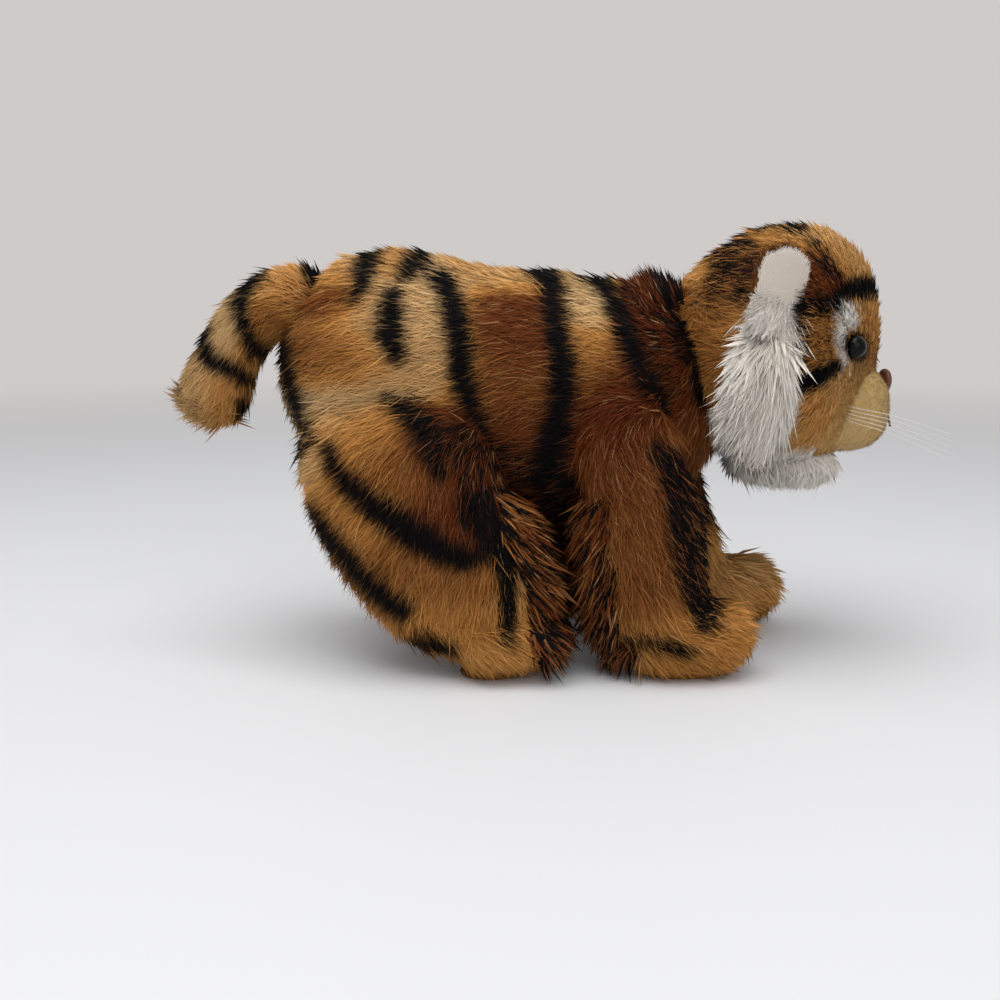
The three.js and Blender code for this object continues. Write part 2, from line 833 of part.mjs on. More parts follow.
// The origin goes below the middle of the cub's length
const reach = new THREE.Box3().setFromObject(cub);
cub.position.x = -(reach.min.x + reach.max.x) / 2;

export default cub;
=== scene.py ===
import json
import math

import bpy
import numpy as np
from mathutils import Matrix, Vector
from mathutils.bvhtree import BVHTree


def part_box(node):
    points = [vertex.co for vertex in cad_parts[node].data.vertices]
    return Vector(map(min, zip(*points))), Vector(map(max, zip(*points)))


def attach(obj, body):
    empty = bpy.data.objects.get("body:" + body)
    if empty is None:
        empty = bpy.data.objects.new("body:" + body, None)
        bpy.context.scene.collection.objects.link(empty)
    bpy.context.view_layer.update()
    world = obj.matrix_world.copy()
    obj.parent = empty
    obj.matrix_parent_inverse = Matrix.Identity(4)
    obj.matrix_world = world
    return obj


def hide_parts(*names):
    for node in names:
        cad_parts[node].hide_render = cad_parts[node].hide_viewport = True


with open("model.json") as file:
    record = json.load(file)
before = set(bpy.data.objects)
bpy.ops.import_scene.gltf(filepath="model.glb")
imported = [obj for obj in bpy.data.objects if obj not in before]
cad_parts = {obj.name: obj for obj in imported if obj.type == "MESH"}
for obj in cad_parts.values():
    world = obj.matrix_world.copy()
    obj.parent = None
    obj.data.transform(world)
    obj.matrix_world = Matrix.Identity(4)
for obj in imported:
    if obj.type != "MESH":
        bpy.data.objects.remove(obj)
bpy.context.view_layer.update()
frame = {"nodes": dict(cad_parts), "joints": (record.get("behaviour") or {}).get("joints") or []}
scene = bpy.context.scene
millimetre = 0.001

# Shapes are written in millimetres from the point below the middle of the cub's ribs.
# The frame's own middle lies elsewhere, by the place of the neck's hinge.
neckX = 106
neckHinge = next(joint["pos_m"] for joint in frame["joints"] if joint["name"] == "head_nod")
frameX = neckHinge[0] / millimetre - neckX


def inFrame(points):
    # metres in the frame = (millimetres + the shift along X) / 1000
    return (np.asarray(points, float) + (frameX, 0, 0)) * millimetre


# Camera

view = {
    "width": 1000, "middle": 500, "focal": 1300,  # in thousandths of the picture's width
    "distance": 473, "height": 136,               # mm from the cub's middle plane and the floor
    "down": math.atan(220 / 1300),
    "sensor": 36,
}

cameraData = bpy.data.cameras.new("camera")
cameraData.sensor_width = view["sensor"]
cameraData.sensor_fit = "HORIZONTAL"
cameraData.lens = view["sensor"] * view["focal"] / view["width"]
camera = bpy.data.objects.new("camera", cameraData)
camera.location = inFrame((0, -view["distance"], view["height"]))
camera.rotation_euler = (math.pi / 2 - view["down"], 0, 0)
scene.collection.objects.link(camera)
scene.camera = camera


# Materials

def linear(hexColour):
    # linear = ((c + 0.055) / 1.055) ^ 2.4, or c / 12.92 below 0.04045
    parts = [int(hexColour[k:k + 2], 16) / 255 for k in (1, 3, 5)]
    return tuple(c / 12.92 if c < 0.04045 else ((c + 0.055) / 1.055) ** 2.4 for c in parts) + (1,)


def add(tree, kind, inputs=None, **settings):
    # a node with its settings, its values and the sockets that feed it
    node = tree.nodes.new(f"ShaderNode{kind}")
    for name, value in settings.items():
        if name == "stops":
            elements = node.color_ramp.elements
            while len(elements) < len(value):
                elements.new(0.5)
            for element, (place, colour) in zip(elements, value):
                element.position, element.color = place, linear(colour)
        else:
            setattr(node, name, value)
    for name, value in (inputs or {}).items():
        if isinstance(value, bpy.types.NodeSocket):
            tree.links.new(value, node.inputs[name])
        else:
            node.inputs[name].default_value = value
    return node


def startMaterial(name):
    material = bpy.data.materials.new(name)
    material.use_nodes = True
    material.node_tree.nodes.clear()
    return material, material.node_tree


pileLook = {
    # colours down in the pile and at its ends: straw, golden orange, brown and rust; each root colour is darker
    # than its end as painted shade, where light reaches the pile less
    "roots": [(0, "#6b4a28"), (0.35, "#6a3a10"), (0.7, "#341506"), (1, "#1f0903")],
    "ends": [(0, "#f0ca92"), (0.35, "#e6a355"), (0.7, "#874a22"), (1, "#64270d")],
    "blackRoot": "#040303", "blackEnd": "#131010",
    "whiteRoot": "#a8937f", "whiteEnd": "#f5efe5",
    # fibres whose chance is above this are guard hairs, at most so far covered by their colour
    "guardFrom": 0.86, "guardCover": 0.55, "guardEnd": "#d9b07a",
    "uneven": (0.8, 1.15),
    "roughness": 0.6, "specular": 0.06,
}


def pileMaterial(name, look):
    # acrylic plush pile, knitted and sheared: a matt fibre, dark where light
    # doesn't reach its roots, paler and a little glossy at its ends
    material, tree = startMaterial(name)
    along, warm, dark, pale, chance = (
        add(tree, "Attribute", attribute_name=key).outputs["Fac"]
        for key in ("along", "warm", "dark", "pale", "chance"))
    roots, ends = (
        add(tree, "ValToRGB", {"Fac": warm}, stops=look[key]).outputs["Color"]
        for key in ("roots", "ends"))
    guard = add(tree, "MapRange", {
        "Value": chance, "From Min": look["guardFrom"], "To Max": look["guardCover"],
    })
    # a guard hair's own colour shows more towards its end
    guard = add(tree, "Math", {0: guard.outputs[0], 1: along}, operation="MULTIPLY")
    black, white = (
        add(tree, "Mix", {
            0: along, 6: linear(look[f"{key}Root"]), 7: linear(look[f"{key}End"]),
        }, data_type="RGBA").outputs[2]
        for key in ("black", "white"))
    colour = add(tree, "Mix", {0: along, 6: roots, 7: ends}, data_type="RGBA").outputs[2]
    for cover, over in ((guard.outputs[0], linear(look["guardEnd"])), (pale, white), (dark, black)):
        colour = add(tree, "Mix", {0: cover, 6: colour, 7: over}, data_type="RGBA").outputs[2]
    # each fibre takes the dye a little differently
    uneven = add(tree, "MapRange", {
        "Value": chance, "To Min": look["uneven"][0], "To Max": look["uneven"][1],
    })
    shade = add(tree, "HueSaturation", {"Value": uneven.outputs[0], "Color": colour})
    shader = add(tree, "BsdfPrincipled", {
        "Base Color": shade.outputs["Color"],
        "Roughness": look["roughness"], "Specular IOR Level": look["specular"],
    })
    add(tree, "OutputMaterial", {0: shader.outputs[0]})
    return material


longPile = pileMaterial("acrylicPlushPile", pileLook)
shortPile = pileMaterial("shearedPlushPile", {
    **pileLook,
    # here too the roots are darker than the ends as painted shade
    "roots": [(0, "#a48a52"), (0.5, "#9a6a30"), (1, "#3a1c0b")],
    "ends": [(0, "#e5c186"), (0.5, "#cf9d58"), (1, "#5d3318")],
    "guardEnd": "#e6ce9c",
    "roughness": 0.75,
})


def plainMaterial(name, colour, values, grain=None):
    # one colour, with a fine bump where grain gives its size in mm and its strength
    material, tree = startMaterial(name)
    if grain:
        place = add(tree, "TexCoord")
        noise = add(tree, "TexNoise", {
            "Vector": place.outputs["Object"], "Scale": 1000 / grain[0], "Detail": 3,
        })
        bump = add(tree, "Bump", {
            "Height": noise.outputs["Fac"], "Strength": grain[1], "Distance": 0.0002,
        })
        values = {**values, "Normal": bump.outputs[0]}
    shader = add(tree, "BsdfPrincipled", {"Base Color": linear(colour), **values})
    add(tree, "OutputMaterial", {0: shader.outputs[0]})
    return material


# moulded ABS bead, polished: near black with a hard, small highlight
eyeBead = plainMaterial("polishedBlackBead", "#050403", {
    "Roughness": 0.1, "IOR": 1.45, "Specular IOR Level": 0.16,
})
# drawn nylon filament: clear, so that it takes the colour of the light
nylon = plainMaterial("drawnNylon", "#dedad4", {"Roughness": 0.3, "IOR": 1.53})
# rayon embroidery thread: a soft sheen along each stitch
stitchThread = plainMaterial("rayonStitch", "#5c3320", {"Roughness": 0.45, "IOR": 1.5}, (0.25, 0.3))
mouthThread = plainMaterial("rayonMouthStitch", "#4b2a1b", {"Roughness": 0.5, "IOR": 1.5})
# crimped polyester staple: white wadding, hidden inside
fibreFill = plainMaterial("polyesterStaple", "#ecebe6", {"Roughness": 0.95}, (0.6, 0.8))
# moulded polythene: milky and waxy, behind the skin
washerPlastic = plainMaterial("mouldedPolythene", "#dcdcd6", {"Roughness": 0.4}, (0.8, 0.1))
print("materials made")


# Lines and forms

def columns(*values):
    # the values side by side, a row for each point; a lone number fills its column
    return np.stack(np.broadcast_arrays(*values), axis=-1)


def ramp(value, start, end):
    # 0 up to the start, 1 from the end on, and straight between them
    return np.clip((value - start) / (end - start), 0, 1)


def normalised(vectors):
    return vectors / np.maximum(np.linalg.norm(vectors, axis=1), 1e-9)[:, None]


def turned(ahead, aside, angle):
    # ahead * cos(angle) + aside * sin(angle)
    return ahead * np.cos(angle)[:, None] + aside * np.sin(angle)[:, None]


def splineAt(points, t):
    # a centripetal Catmull-Rom curve: between two points the cubic whose slopes at its
    # ends follow the neighbours, with knots spaced by the square root of their distance
    points = np.asarray(points, float)
    last = len(points) - 1
    ends = np.vstack([2 * points[0] - points[1], points, 2 * points[-1] - points[-2]])
    span = np.clip(np.floor(t * last).astype(int), 0, last - 1)
    w = (t * last - span)[:, None]
    a, b, c, d = (ends[span + k] for k in range(4))
    gap = [
        np.sqrt(np.maximum(np.linalg.norm(q - p, axis=1), 1e-4))[:, None]
        for p, q in ((a, b), (b, c), (c, d))
    ]
    slope1 = ((b - a) / gap[0] - (c - a) / (gap[0] + gap[1]) + (c - b) / gap[1]) * gap[1]
    slope2 = ((c - b) / gap[1] - (d - b) / (gap[1] + gap[2]) + (d - c) / gap[2]) * gap[1]
    square = -3 * b + 3 * c - 2 * slope1 - slope2
    cube = 2 * b - 2 * c + slope1 + slope2
    return b + slope1 * w + square * w ** 2 + cube * w ** 3


def evenPlaces(points, places):
    # the t at which the curve has run each share of its length, and that length
    t = np.linspace(0, 1, 401)
    steps = np.linalg.norm(np.diff(splineAt(points, t), axis=0), axis=1)
    run = np.concatenate([[0], np.cumsum(steps)])
    return np.interp(places * run[-1], run, t), run[-1]


def ringForm(centres, across, over, halfWidths, halfDepths, poles, sides):
    # point = centre + across * halfWidth * cos(angle) + over * halfDepth * sin(angle)
    across, over = (np.broadcast_to(way, centres.shape)[:, None] for way in (across, over))
    angle = np.linspace(0, 2 * np.pi, sides, endpoint=False)
    grid = (centres[:, None]
            + across * (halfWidths[:, None] * np.cos(angle))[..., None]
            + over * (halfDepths[:, None] * np.sin(angle))[..., None])
    end = len(centres) * sides + 1
    here = np.arange(1, end).reshape(-1, sides)
    after = np.roll(here, -1, axis=1)
    quads = np.stack([here[:-1], after[:-1], after[1:], here[1:]], axis=-1).reshape(-1, 4)
    first, last = columns(0, after[0], here[0]), columns(end, here[-1], after[-1])
    points = np.vstack([poles[0], grid.reshape(-1, 3), poles[1]])
    return points, quads.tolist() + first.tolist() + last.tolist()


def stuffedForm(centres, halfSizes, rounding, inset, across=(0, 1, 0), middle=28, caps=10, sides=40):
    # rings along a spline; each is full * (half size - inset), and full runs as a
    # quarter circle over the rounded shares at both ends
    start, end = rounding
    quarter = 1 - np.cos(np.pi * np.arange(caps + 1) / caps / 2)
    place = np.concatenate([
        start * quarter,
        start + (1 - start - end) * np.arange(1, middle + 1) / middle,
        1 - end * quarter[-2::-1],
    ])
    length = evenPlaces(centres, 1)[1]
    t = evenPlaces(centres, inset / length + place * (1 - 2 * inset / length))[0]
    line = splineAt(centres, t)
    step = 1e-3
    ahead, behind = (splineAt(centres, np.clip(t + way, 0, 1)) for way in (step, -step))
    over = normalised(np.cross(normalised(ahead - behind), across))
    before = np.maximum(0, 1 - place / start)
    beyond = np.maximum(0, 1 - (1 - place) / end)
    full = np.sqrt(np.maximum(0, 1 - before ** 2 - beyond ** 2))
    depth, width = ((splineAt(halfSizes, t) - inset) * full[:, None]).T
    return ringForm(line[1:-1], across, over[1:-1], width[1:-1], depth[1:-1], line[[0, -1]], sides)


def ballForm(centre, halves, sides=36, rings=18):
    # an ellipsoid whose poles lie along X
    angle = np.pi * np.arange(1, rings) / rings
    line = centre - columns(np.cos(angle) * halves[0], 0, 0)
    poles = [np.add(centre, (end * halves[0], 0, 0)) for end in (-1, 1)]
    return ringForm(line, (0, 1, 0), (0, 0, 1), np.sin(angle) * halves[1], np.sin(angle) * halves[2],
                    poles, sides)


def fuller(form, centre, halves, power):
    # each point is moved along its line from the centre until
    # |x|^power + |y|^power + |z|^power = 1, in shares of the half sizes
    points, faces = form
    share = (points - centre) / halves
    reach = (np.abs(share) ** power).sum(axis=1) ** (1 / power)
    return centre + halves * share / reach[:, None] * np.linalg.norm(share, axis=1)[:, None], faces


# Each stuffed piece says how far its cloth and its filling lie inside the pile, how
# finely its cloth is meshed and how far the filling may push that, all in mm.

torso = {
    "length": 165, "depth": 92, "width": 80, "middle": 103, "rump": -81, "rounding": (0.2, 0.2),
    "cloth": 4.6, "filling": 9, "mesh": 4.5, "push": 1,
    # along, rise of the middle, half depth, half width
    "rows": [
        (0, 0, 0.37, 0.4), (0.127, 0.005, 0.462, 0.475), (0.26, -0.004, 0.51, 0.5),
        (0.4, -0.075, 0.53, 0.488), (0.55, -0.115, 0.539, 0.475), (0.7, -0.1, 0.524, 0.475),
        (0.84, -0.024, 0.438, 0.45), (0.93, 0.033, 0.402, 0.41), (1, 0.054, 0.326, 0.35),
    ],
}


def torsoForm(inset):
    # rings square to the line of the back; places and half sizes are the rows' shares
    along, rise, halfDepth, halfWidth = np.array(torso["rows"]).T
    centres = columns(torso["rump"] + along * torso["length"], 0, torso["middle"] + rise * torso["depth"])
    halves = columns(halfDepth * torso["depth"], halfWidth * torso["width"])
    return stuffedForm(centres, halves, torso["rounding"], inset)


head = {
    "x": 106, "z": 112, "radius": 44, "width": 86, "face": 33, "high": 2.2, "wide": 1.2,
    "cloth": 2.2, "filling": 9, "mesh": 3.5, "push": 0.8,
}


def headForm(inset, sides=56, rings=20):
    # behind, a ball; in front, (1 - place^power)^(1/power) of its size, flatter across
    k = np.arange(1, rings + 1) / rings
    radius, halfWidth, depth = (size - inset for size in (head["radius"], head["width"] / 2, head["face"]))
    rear = np.sin(np.pi * k / 2)
    place = 1 - (1 - k[:-1]) ** 2
    x = np.concatenate([head["x"] - radius * np.cos(np.pi * k / 2), head["x"] + depth * place])
    high, wide = (
        size * np.concatenate([rear, (1 - place ** head[power]) ** (1 / head[power])])
        for size, power in ((radius, "high"), (halfWidth, "wide")))
    poles = (head["x"] - radius, 0, head["z"]), (head["x"] + depth, 0, head["z"])
    return ringForm(columns(x, 0, head["z"]), (0, 1, 0), (0, 0, 1), wide, high, poles, sides)


legs = {
    "front": {
        "hinge": (42, 95), "depth": 46, "width": 36, "heel": 36, "paw": 54, "leftStride": 23,
        # forward, drop, half depth, half width, lean towards the body
        "rows": [
            (-0.04, -0.24, 0.42, 0.4, 0.34), (0, 0, 0.45, 0.46, 0.22), (0.06, 0.23, 0.467, 0.486, 0.08),
            (0.17, 0.47, 0.5, 0.5, 0), (0.21, 0.7, 0.48, 0.5, 0), (0.23, 0.9, 0.46, 0.49, 0),
        ],
    },
    "hind": {
        "hinge": (-34, 74), "depth": 82, "width": 40, "heel": -25, "paw": 46, "leftStride": 14,
        "rows": [
            (0, -0.54, 0.46, 0.46, 0.4), (0, -0.2, 0.49, 0.5, 0.24), (0.05, 0.2, 0.45, 0.5, 0.08),
            (0.22, 0.5, 0.41, 0.47, 0), (0.38, 0.76, 0.32, 0.45, 0), (0.37, 0.9, 0.26, 0.43, 0),
        ],
    },
    "track": 34, "pawHeight": 27, "pawSettle": 1.8, "rounding": (0.34, 0.1), "pawRounding": (0.34, 0.32),
    "cloth": 4.6, "filling": 8, "mesh": 4, "push": 1,
    # along, rise of the middle, half height, half width
    "pawRows": [(0, 0.04, 0.5, 0.46), (0.45, 0.14, 0.64, 0.52), (1, 0.06, 0.54, 0.5)],
}


def legForms(kind, side, stride, inset):
    # a column down from the hinge that leans in at its top, and a paw along the floor
    leg = legs[kind]
    forward, drop, halfDepth, halfWidth, lean = np.array(leg["rows"]).T
    centres = columns(
        leg["hinge"][0] + forward * leg["depth"] + drop * stride,
        side * (legs["track"] - lean * leg["width"]),
        leg["hinge"][1] * (1 - drop))
    halves = columns(halfDepth * leg["depth"], halfWidth * leg["width"])
    column = stuffedForm(centres, halves, legs["rounding"], inset)
    along, rise, halfHeight, halfWidth = np.array(legs["pawRows"]).T
    centres = columns(
        leg["heel"] + stride + along * leg["paw"],
        side * legs["track"],
        legs["pawHeight"] / 2 * (1 + 2 * rise) - legs["pawSettle"])
    halves = columns(halfHeight * legs["pawHeight"], halfWidth * leg["width"])
    return column, stuffedForm(centres, halves, legs["pawRounding"], inset, middle=12)


tail = {
    "reach": 55, "root": (-58, 127), "thickness": 28.5, "rounding": (0.2, 0.16),
    "cloth": 3.4, "filling": 7, "mesh": 3.5, "push": 1,
    # along, rise, half thickness twice
    "rows": [
        (0, 0, 0.48, 0.48), (-0.31, 0.03, 0.5, 0.5), (-0.55, -0.09, 0.48, 0.48),
        (-0.71, -0.31, 0.47, 0.46), (-0.82, -0.55, 0.51, 0.47), (-0.88, -0.77, 0.48, 0.47),
    ],
}


def tailLine():
    # the root, and places back and up from it in shares of the reach
    along, rise = np.array(tail["rows"])[:, :2].T
    return columns(tail["root"][0] + along * tail["reach"], 0, tail["root"][1] + rise * tail["reach"])


def tailForm(inset):
    # rings along that line, as thick as the rows' shares
    halves = np.array(tail["rows"])[:, 2:] * tail["thickness"]
    return stuffedForm(tailLine(), halves, tail["rounding"], inset)


ruff = {
    "x": 88.5, "y": 37, "z": 98, "length": 52, "breadth": 24, "thickness": 17, "lean": -4, "bow": 0.12,
    "rounding": (0.3, 0.42), "cloth": 4, "mesh": 3.5, "push": 1.5,
}


def ruffForm(side, inset):
    # a roll beside the face: y = place + thickness * bow * (1 - 4 share^2)
    shares = np.array([0.5, 0.17, -0.17, -0.5])
    centres = columns(
        ruff["x"] - ruff["lean"] * shares,
        side * (ruff["y"] + ruff["thickness"] * ruff["bow"] * (1 - 4 * shares ** 2)),
        ruff["z"] + ruff["length"] * shares)
    halves = np.tile((ruff["breadth"] / 2, ruff["thickness"] / 2), (4, 1))
    return stuffedForm(centres, halves, ruff["rounding"], inset)


ear = {
    "x": 92, "y": 37.5, "z": 124, "width": 21, "height": 22, "thickness": 5,
    "facing": 2.2, "gap": 0.3, "lean": 4, "turn": math.radians(25), "rim": 0.97,
    "rounding": (0.2, 0.24), "cloth": 0.3,
    # up the ear, half width, both in shares, and a shift along X in mm
    "rows": [(0, 0.97, 0), (0.34, 1, -0.8), (0.67, 0.97, -0.6), (1, 0.76, 1)],
}


def earOutward(side):
    return np.array((math.sin(ear["turn"]), side * math.cos(ear["turn"]), 0))


def earForm(side, layer):
    # rows up the ear that lean out and forward; the facing is rim times as large and
    # lies against the open side
    facing = layer == "Facing"
    scale, thickness = (ear["rim"], ear["facing"]) if facing else (1, ear["thickness"])
    shares, broad, shift = np.array(ear["rows"]).T
    centres = columns(
        ear["x"] + ear["lean"] * shares * math.sin(ear["turn"]) + shift,
        side * (ear["y"] + ear["lean"] * shares),
        ear["z"] + ear["height"] / 2 * (1 + (2 * shares - 1) * scale))
    if facing:
        centres = centres + earOutward(side) * ((ear["thickness"] - ear["facing"]) / 2 + ear["gap"])
    halves = columns(ear["width"] / 2 * scale * broad, thickness / 2)
    return stuffedForm(centres, halves, ear["rounding"], ear["cloth"], earOutward(side), middle=14, sides=32)


muzzle = {
    "centre": (123, 0, 91), "halves": (19, 22.5, 18), "power": 2.5, "cloth": 1.8, "mesh": 3, "push": 1,
}


def muzzleForm(inset):
    # an ellipsoid filled out to a rounder box
    halves = np.array(muzzle["halves"]) - inset
    return fuller(ballForm(muzzle["centre"], halves), muzzle["centre"], halves, muzzle["power"])


chin = {"centre": (103, 0, 73), "halves": (23, 23, 12), "cloth": 4, "mesh": 3.5, "push": 1.5}


# Stuffed skins

def meshObject(name, forms, body):
    points, faces = np.empty((0, 3)), []
    for some, corners in forms:
        faces += [[corner + len(points) for corner in face] for face in corners]
        points = np.vstack([points, some])
    mesh = bpy.data.meshes.new(name)
    mesh.from_pydata(inFrame(points).tolist(), [], faces)
    mesh.validate()
    piece = bpy.data.objects.new(name, mesh)
    scene.collection.objects.link(piece)
    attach(piece, body)
    return piece


def smooth(mesh):
    mesh.polygons.foreach_set("use_smooth", np.ones(len(mesh.polygons), bool))


def settle(piece):
    # the mesh that the modifiers give takes the place of the piece's own
    graph = bpy.context.evaluated_depsgraph_get()
    mesh = bpy.data.meshes.new_from_object(piece.evaluated_get(graph))
    piece.modifiers.clear()
    old, piece.data = piece.data, mesh
    bpy.data.meshes.remove(old)
    mesh.name = piece.name
    smooth(mesh)


def cornersOf(mesh):
    flat = np.empty(len(mesh.vertices) * 3, np.float32)
    mesh.vertices.foreach_get("co", flat)
    return flat.reshape(-1, 3).astype(float)


def placesOf(piece):
    # the corners in millimetres from the cub's own middle, inFrame turned round
    return cornersOf(piece.data) / millimetre - (frameX, 0, 0)


def trianglesOf(mesh):
    mesh.calc_loop_triangles()
    flat = np.empty(len(mesh.loop_triangles) * 3, np.int32)
    mesh.loop_triangles.foreach_get("vertices", flat)
    return flat.reshape(-1, 3)


def oneForm(name, forms, body, voxel):
    # overlapping forms joined to one closed skin
    piece = meshObject(name, forms, body)
    remesh = piece.modifiers.new("oneForm", "REMESH")
    remesh.mode = "VOXEL"
    remesh.voxel_size = voxel * millimetre
    settle(piece)
    return piece


skins = {}  # name: (piece, how far the filling may push the cloth, in mm)
wadding = {"mesh": 5, "pressure": 4, "quality": 5, "frames": 20}


def stuffedSkin(name, forms, body, settings):
    skins[name] = (oneForm(name, forms, body, settings["mesh"]), settings["push"])


def filling(name, forms, body, node):
    # the wadding inside a skin, one closed form that lies clear of the cloth
    piece = oneForm(name, forms, body, wadding["mesh"])
    piece.data.materials.append(fibreFill)
    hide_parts(node)


def fillSkins():
    # the filling presses outward on the cloth; each point moves at most as far as its push
    stuffed = {name: pair for name, pair in skins.items() if pair[1]}
    start = {}
    for name, (piece, push) in stuffed.items():
        start[name] = cornersOf(piece.data)
        cloth = piece.modifiers.new("filling", "CLOTH").settings
        cloth.quality = wadding["quality"]
        cloth.use_pressure = True
        cloth.uniform_pressure_force = wadding["pressure"]
        cloth.effector_weights.gravity = 0
    for moment in range(1, wadding["frames"] + 1):
        scene.frame_set(moment)
    graph = bpy.context.evaluated_depsgraph_get()
    for name, (piece, push) in stuffed.items():
        move = cornersOf(piece.evaluated_get(graph).data) - start[name]
        far = np.linalg.norm(move, axis=1)[:, None]
        move *= np.minimum(1, push * millimetre / np.maximum(far, 1e-9))
        piece.modifiers.clear()
        piece.data.vertices.foreach_set("co", (start[name] + move).ravel().astype(np.float32))
        piece.data.update()
        print(f"{name}: the filling moved the cloth by up to {far.max() / millimetre:.1f} mm")
    scene.frame_set(1)


sideOf = {"right": -1, "left": 1}
legRides = {}
for kind in ("front", "hind"):
    for word, side in sideOf.items():
        stride = legs[kind]["leftStride"] if word == "left" else 0
        legRides[f"{kind}Leg{word.title()}"] = (kind, side, stride, f"{kind}_leg_{word}")

stuffedSkin("bodySkin", [torsoForm(torso["cloth"])], "torso", torso)
stuffedSkin("headSkin", [headForm(head["cloth"])], "head", head)
stuffedSkin("tailSkin", [tailForm(tail["cloth"])], "tail", tail)
for name, (kind, side, stride, body) in legRides.items():
    stuffedSkin(f"{name}Skin", legForms(kind, side, stride, legs["cloth"]), body, legs)
    filling(f"{name}Filling", legForms(kind, side, stride, legs["filling"]), body, f"{body}_stuffing")
filling("bodyFilling", [torsoForm(torso["filling"])], "torso", "body_stuffing")
filling("headFilling", [headForm(head["filling"])], "head", "head_stuffing")
filling("tailFilling", [tailForm(tail["filling"])], "tail", "tail_stuffing")
stuffedSkin("muzzlePad", [muzzleForm(muzzle["cloth"])], "head", muzzle)
stuffedSkin("chinPad", [ballForm(chin["centre"], np.array(chin["halves"]) - chin["cloth"])], "head", chin)
for word, side in sideOf.items():
    stuffedSkin(f"cheekRuff{word.title()}", [ruffForm(side, ruff["cloth"])], "head", ruff)
for word, side in sideOf.items():
    for layer in ("Back", "Facing"):
        name = f"ear{layer}{word.title()}"
        skins[name] = (meshObject(name, [earForm(side, layer)], "head"), 0)
fillSkins()
for piece, push in skins.values():
    finer = piece.modifiers.new("finer", "SUBSURF")
    finer.levels = finer.render_levels = 1
    settle(piece)
trees = {
    name: BVHTree.FromPolygons([Vector(p) for p in placesOf(piece)], trianglesOf(piece.data).tolist())
    for name, (piece, push) in skins.items()
}
print("skins stuffed")


# Dye and painted shade: the pattern, with a few strokes and clouds of painted shade, is drawn on the cub as it is
# seen from its side

def seenFromSide(points):
    # a point's place in a picture 1000 wide that is taken from view["distance"] away,
    # from the right; the left side mirrors the right one
    x, y, z = points[:, 0], -np.abs(points[:, 1]) + view["distance"], points[:, 2] - view["height"]
    deep = y * math.cos(view["down"]) - z * math.sin(view["down"])
    high = y * math.sin(view["down"]) + z * math.cos(view["down"])
    return view["middle"] + view["focal"] * x / deep, view["middle"] - view["focal"] * high / deep


def stroke(u, v, line):
    # how far inside a brushed line a place lies: half width less its distance
    line = np.reshape(line, (-1, 3))
    best = np.full(len(u), -1e3)
    for (u0, v0, w0), (u1, v1, w1) in zip(line[:-1], line[1:]):
        du, dv = u1 - u0, v1 - v0
        share = np.clip(((u - u0) * du + (v - v0) * dv) / (du * du + dv * dv), 0, 1)
        away = np.hypot(u - u0 - share * du, v - v0 - share * dv)
        best = np.maximum(best, w0 + share * (w1 - w0) - away)
    return best


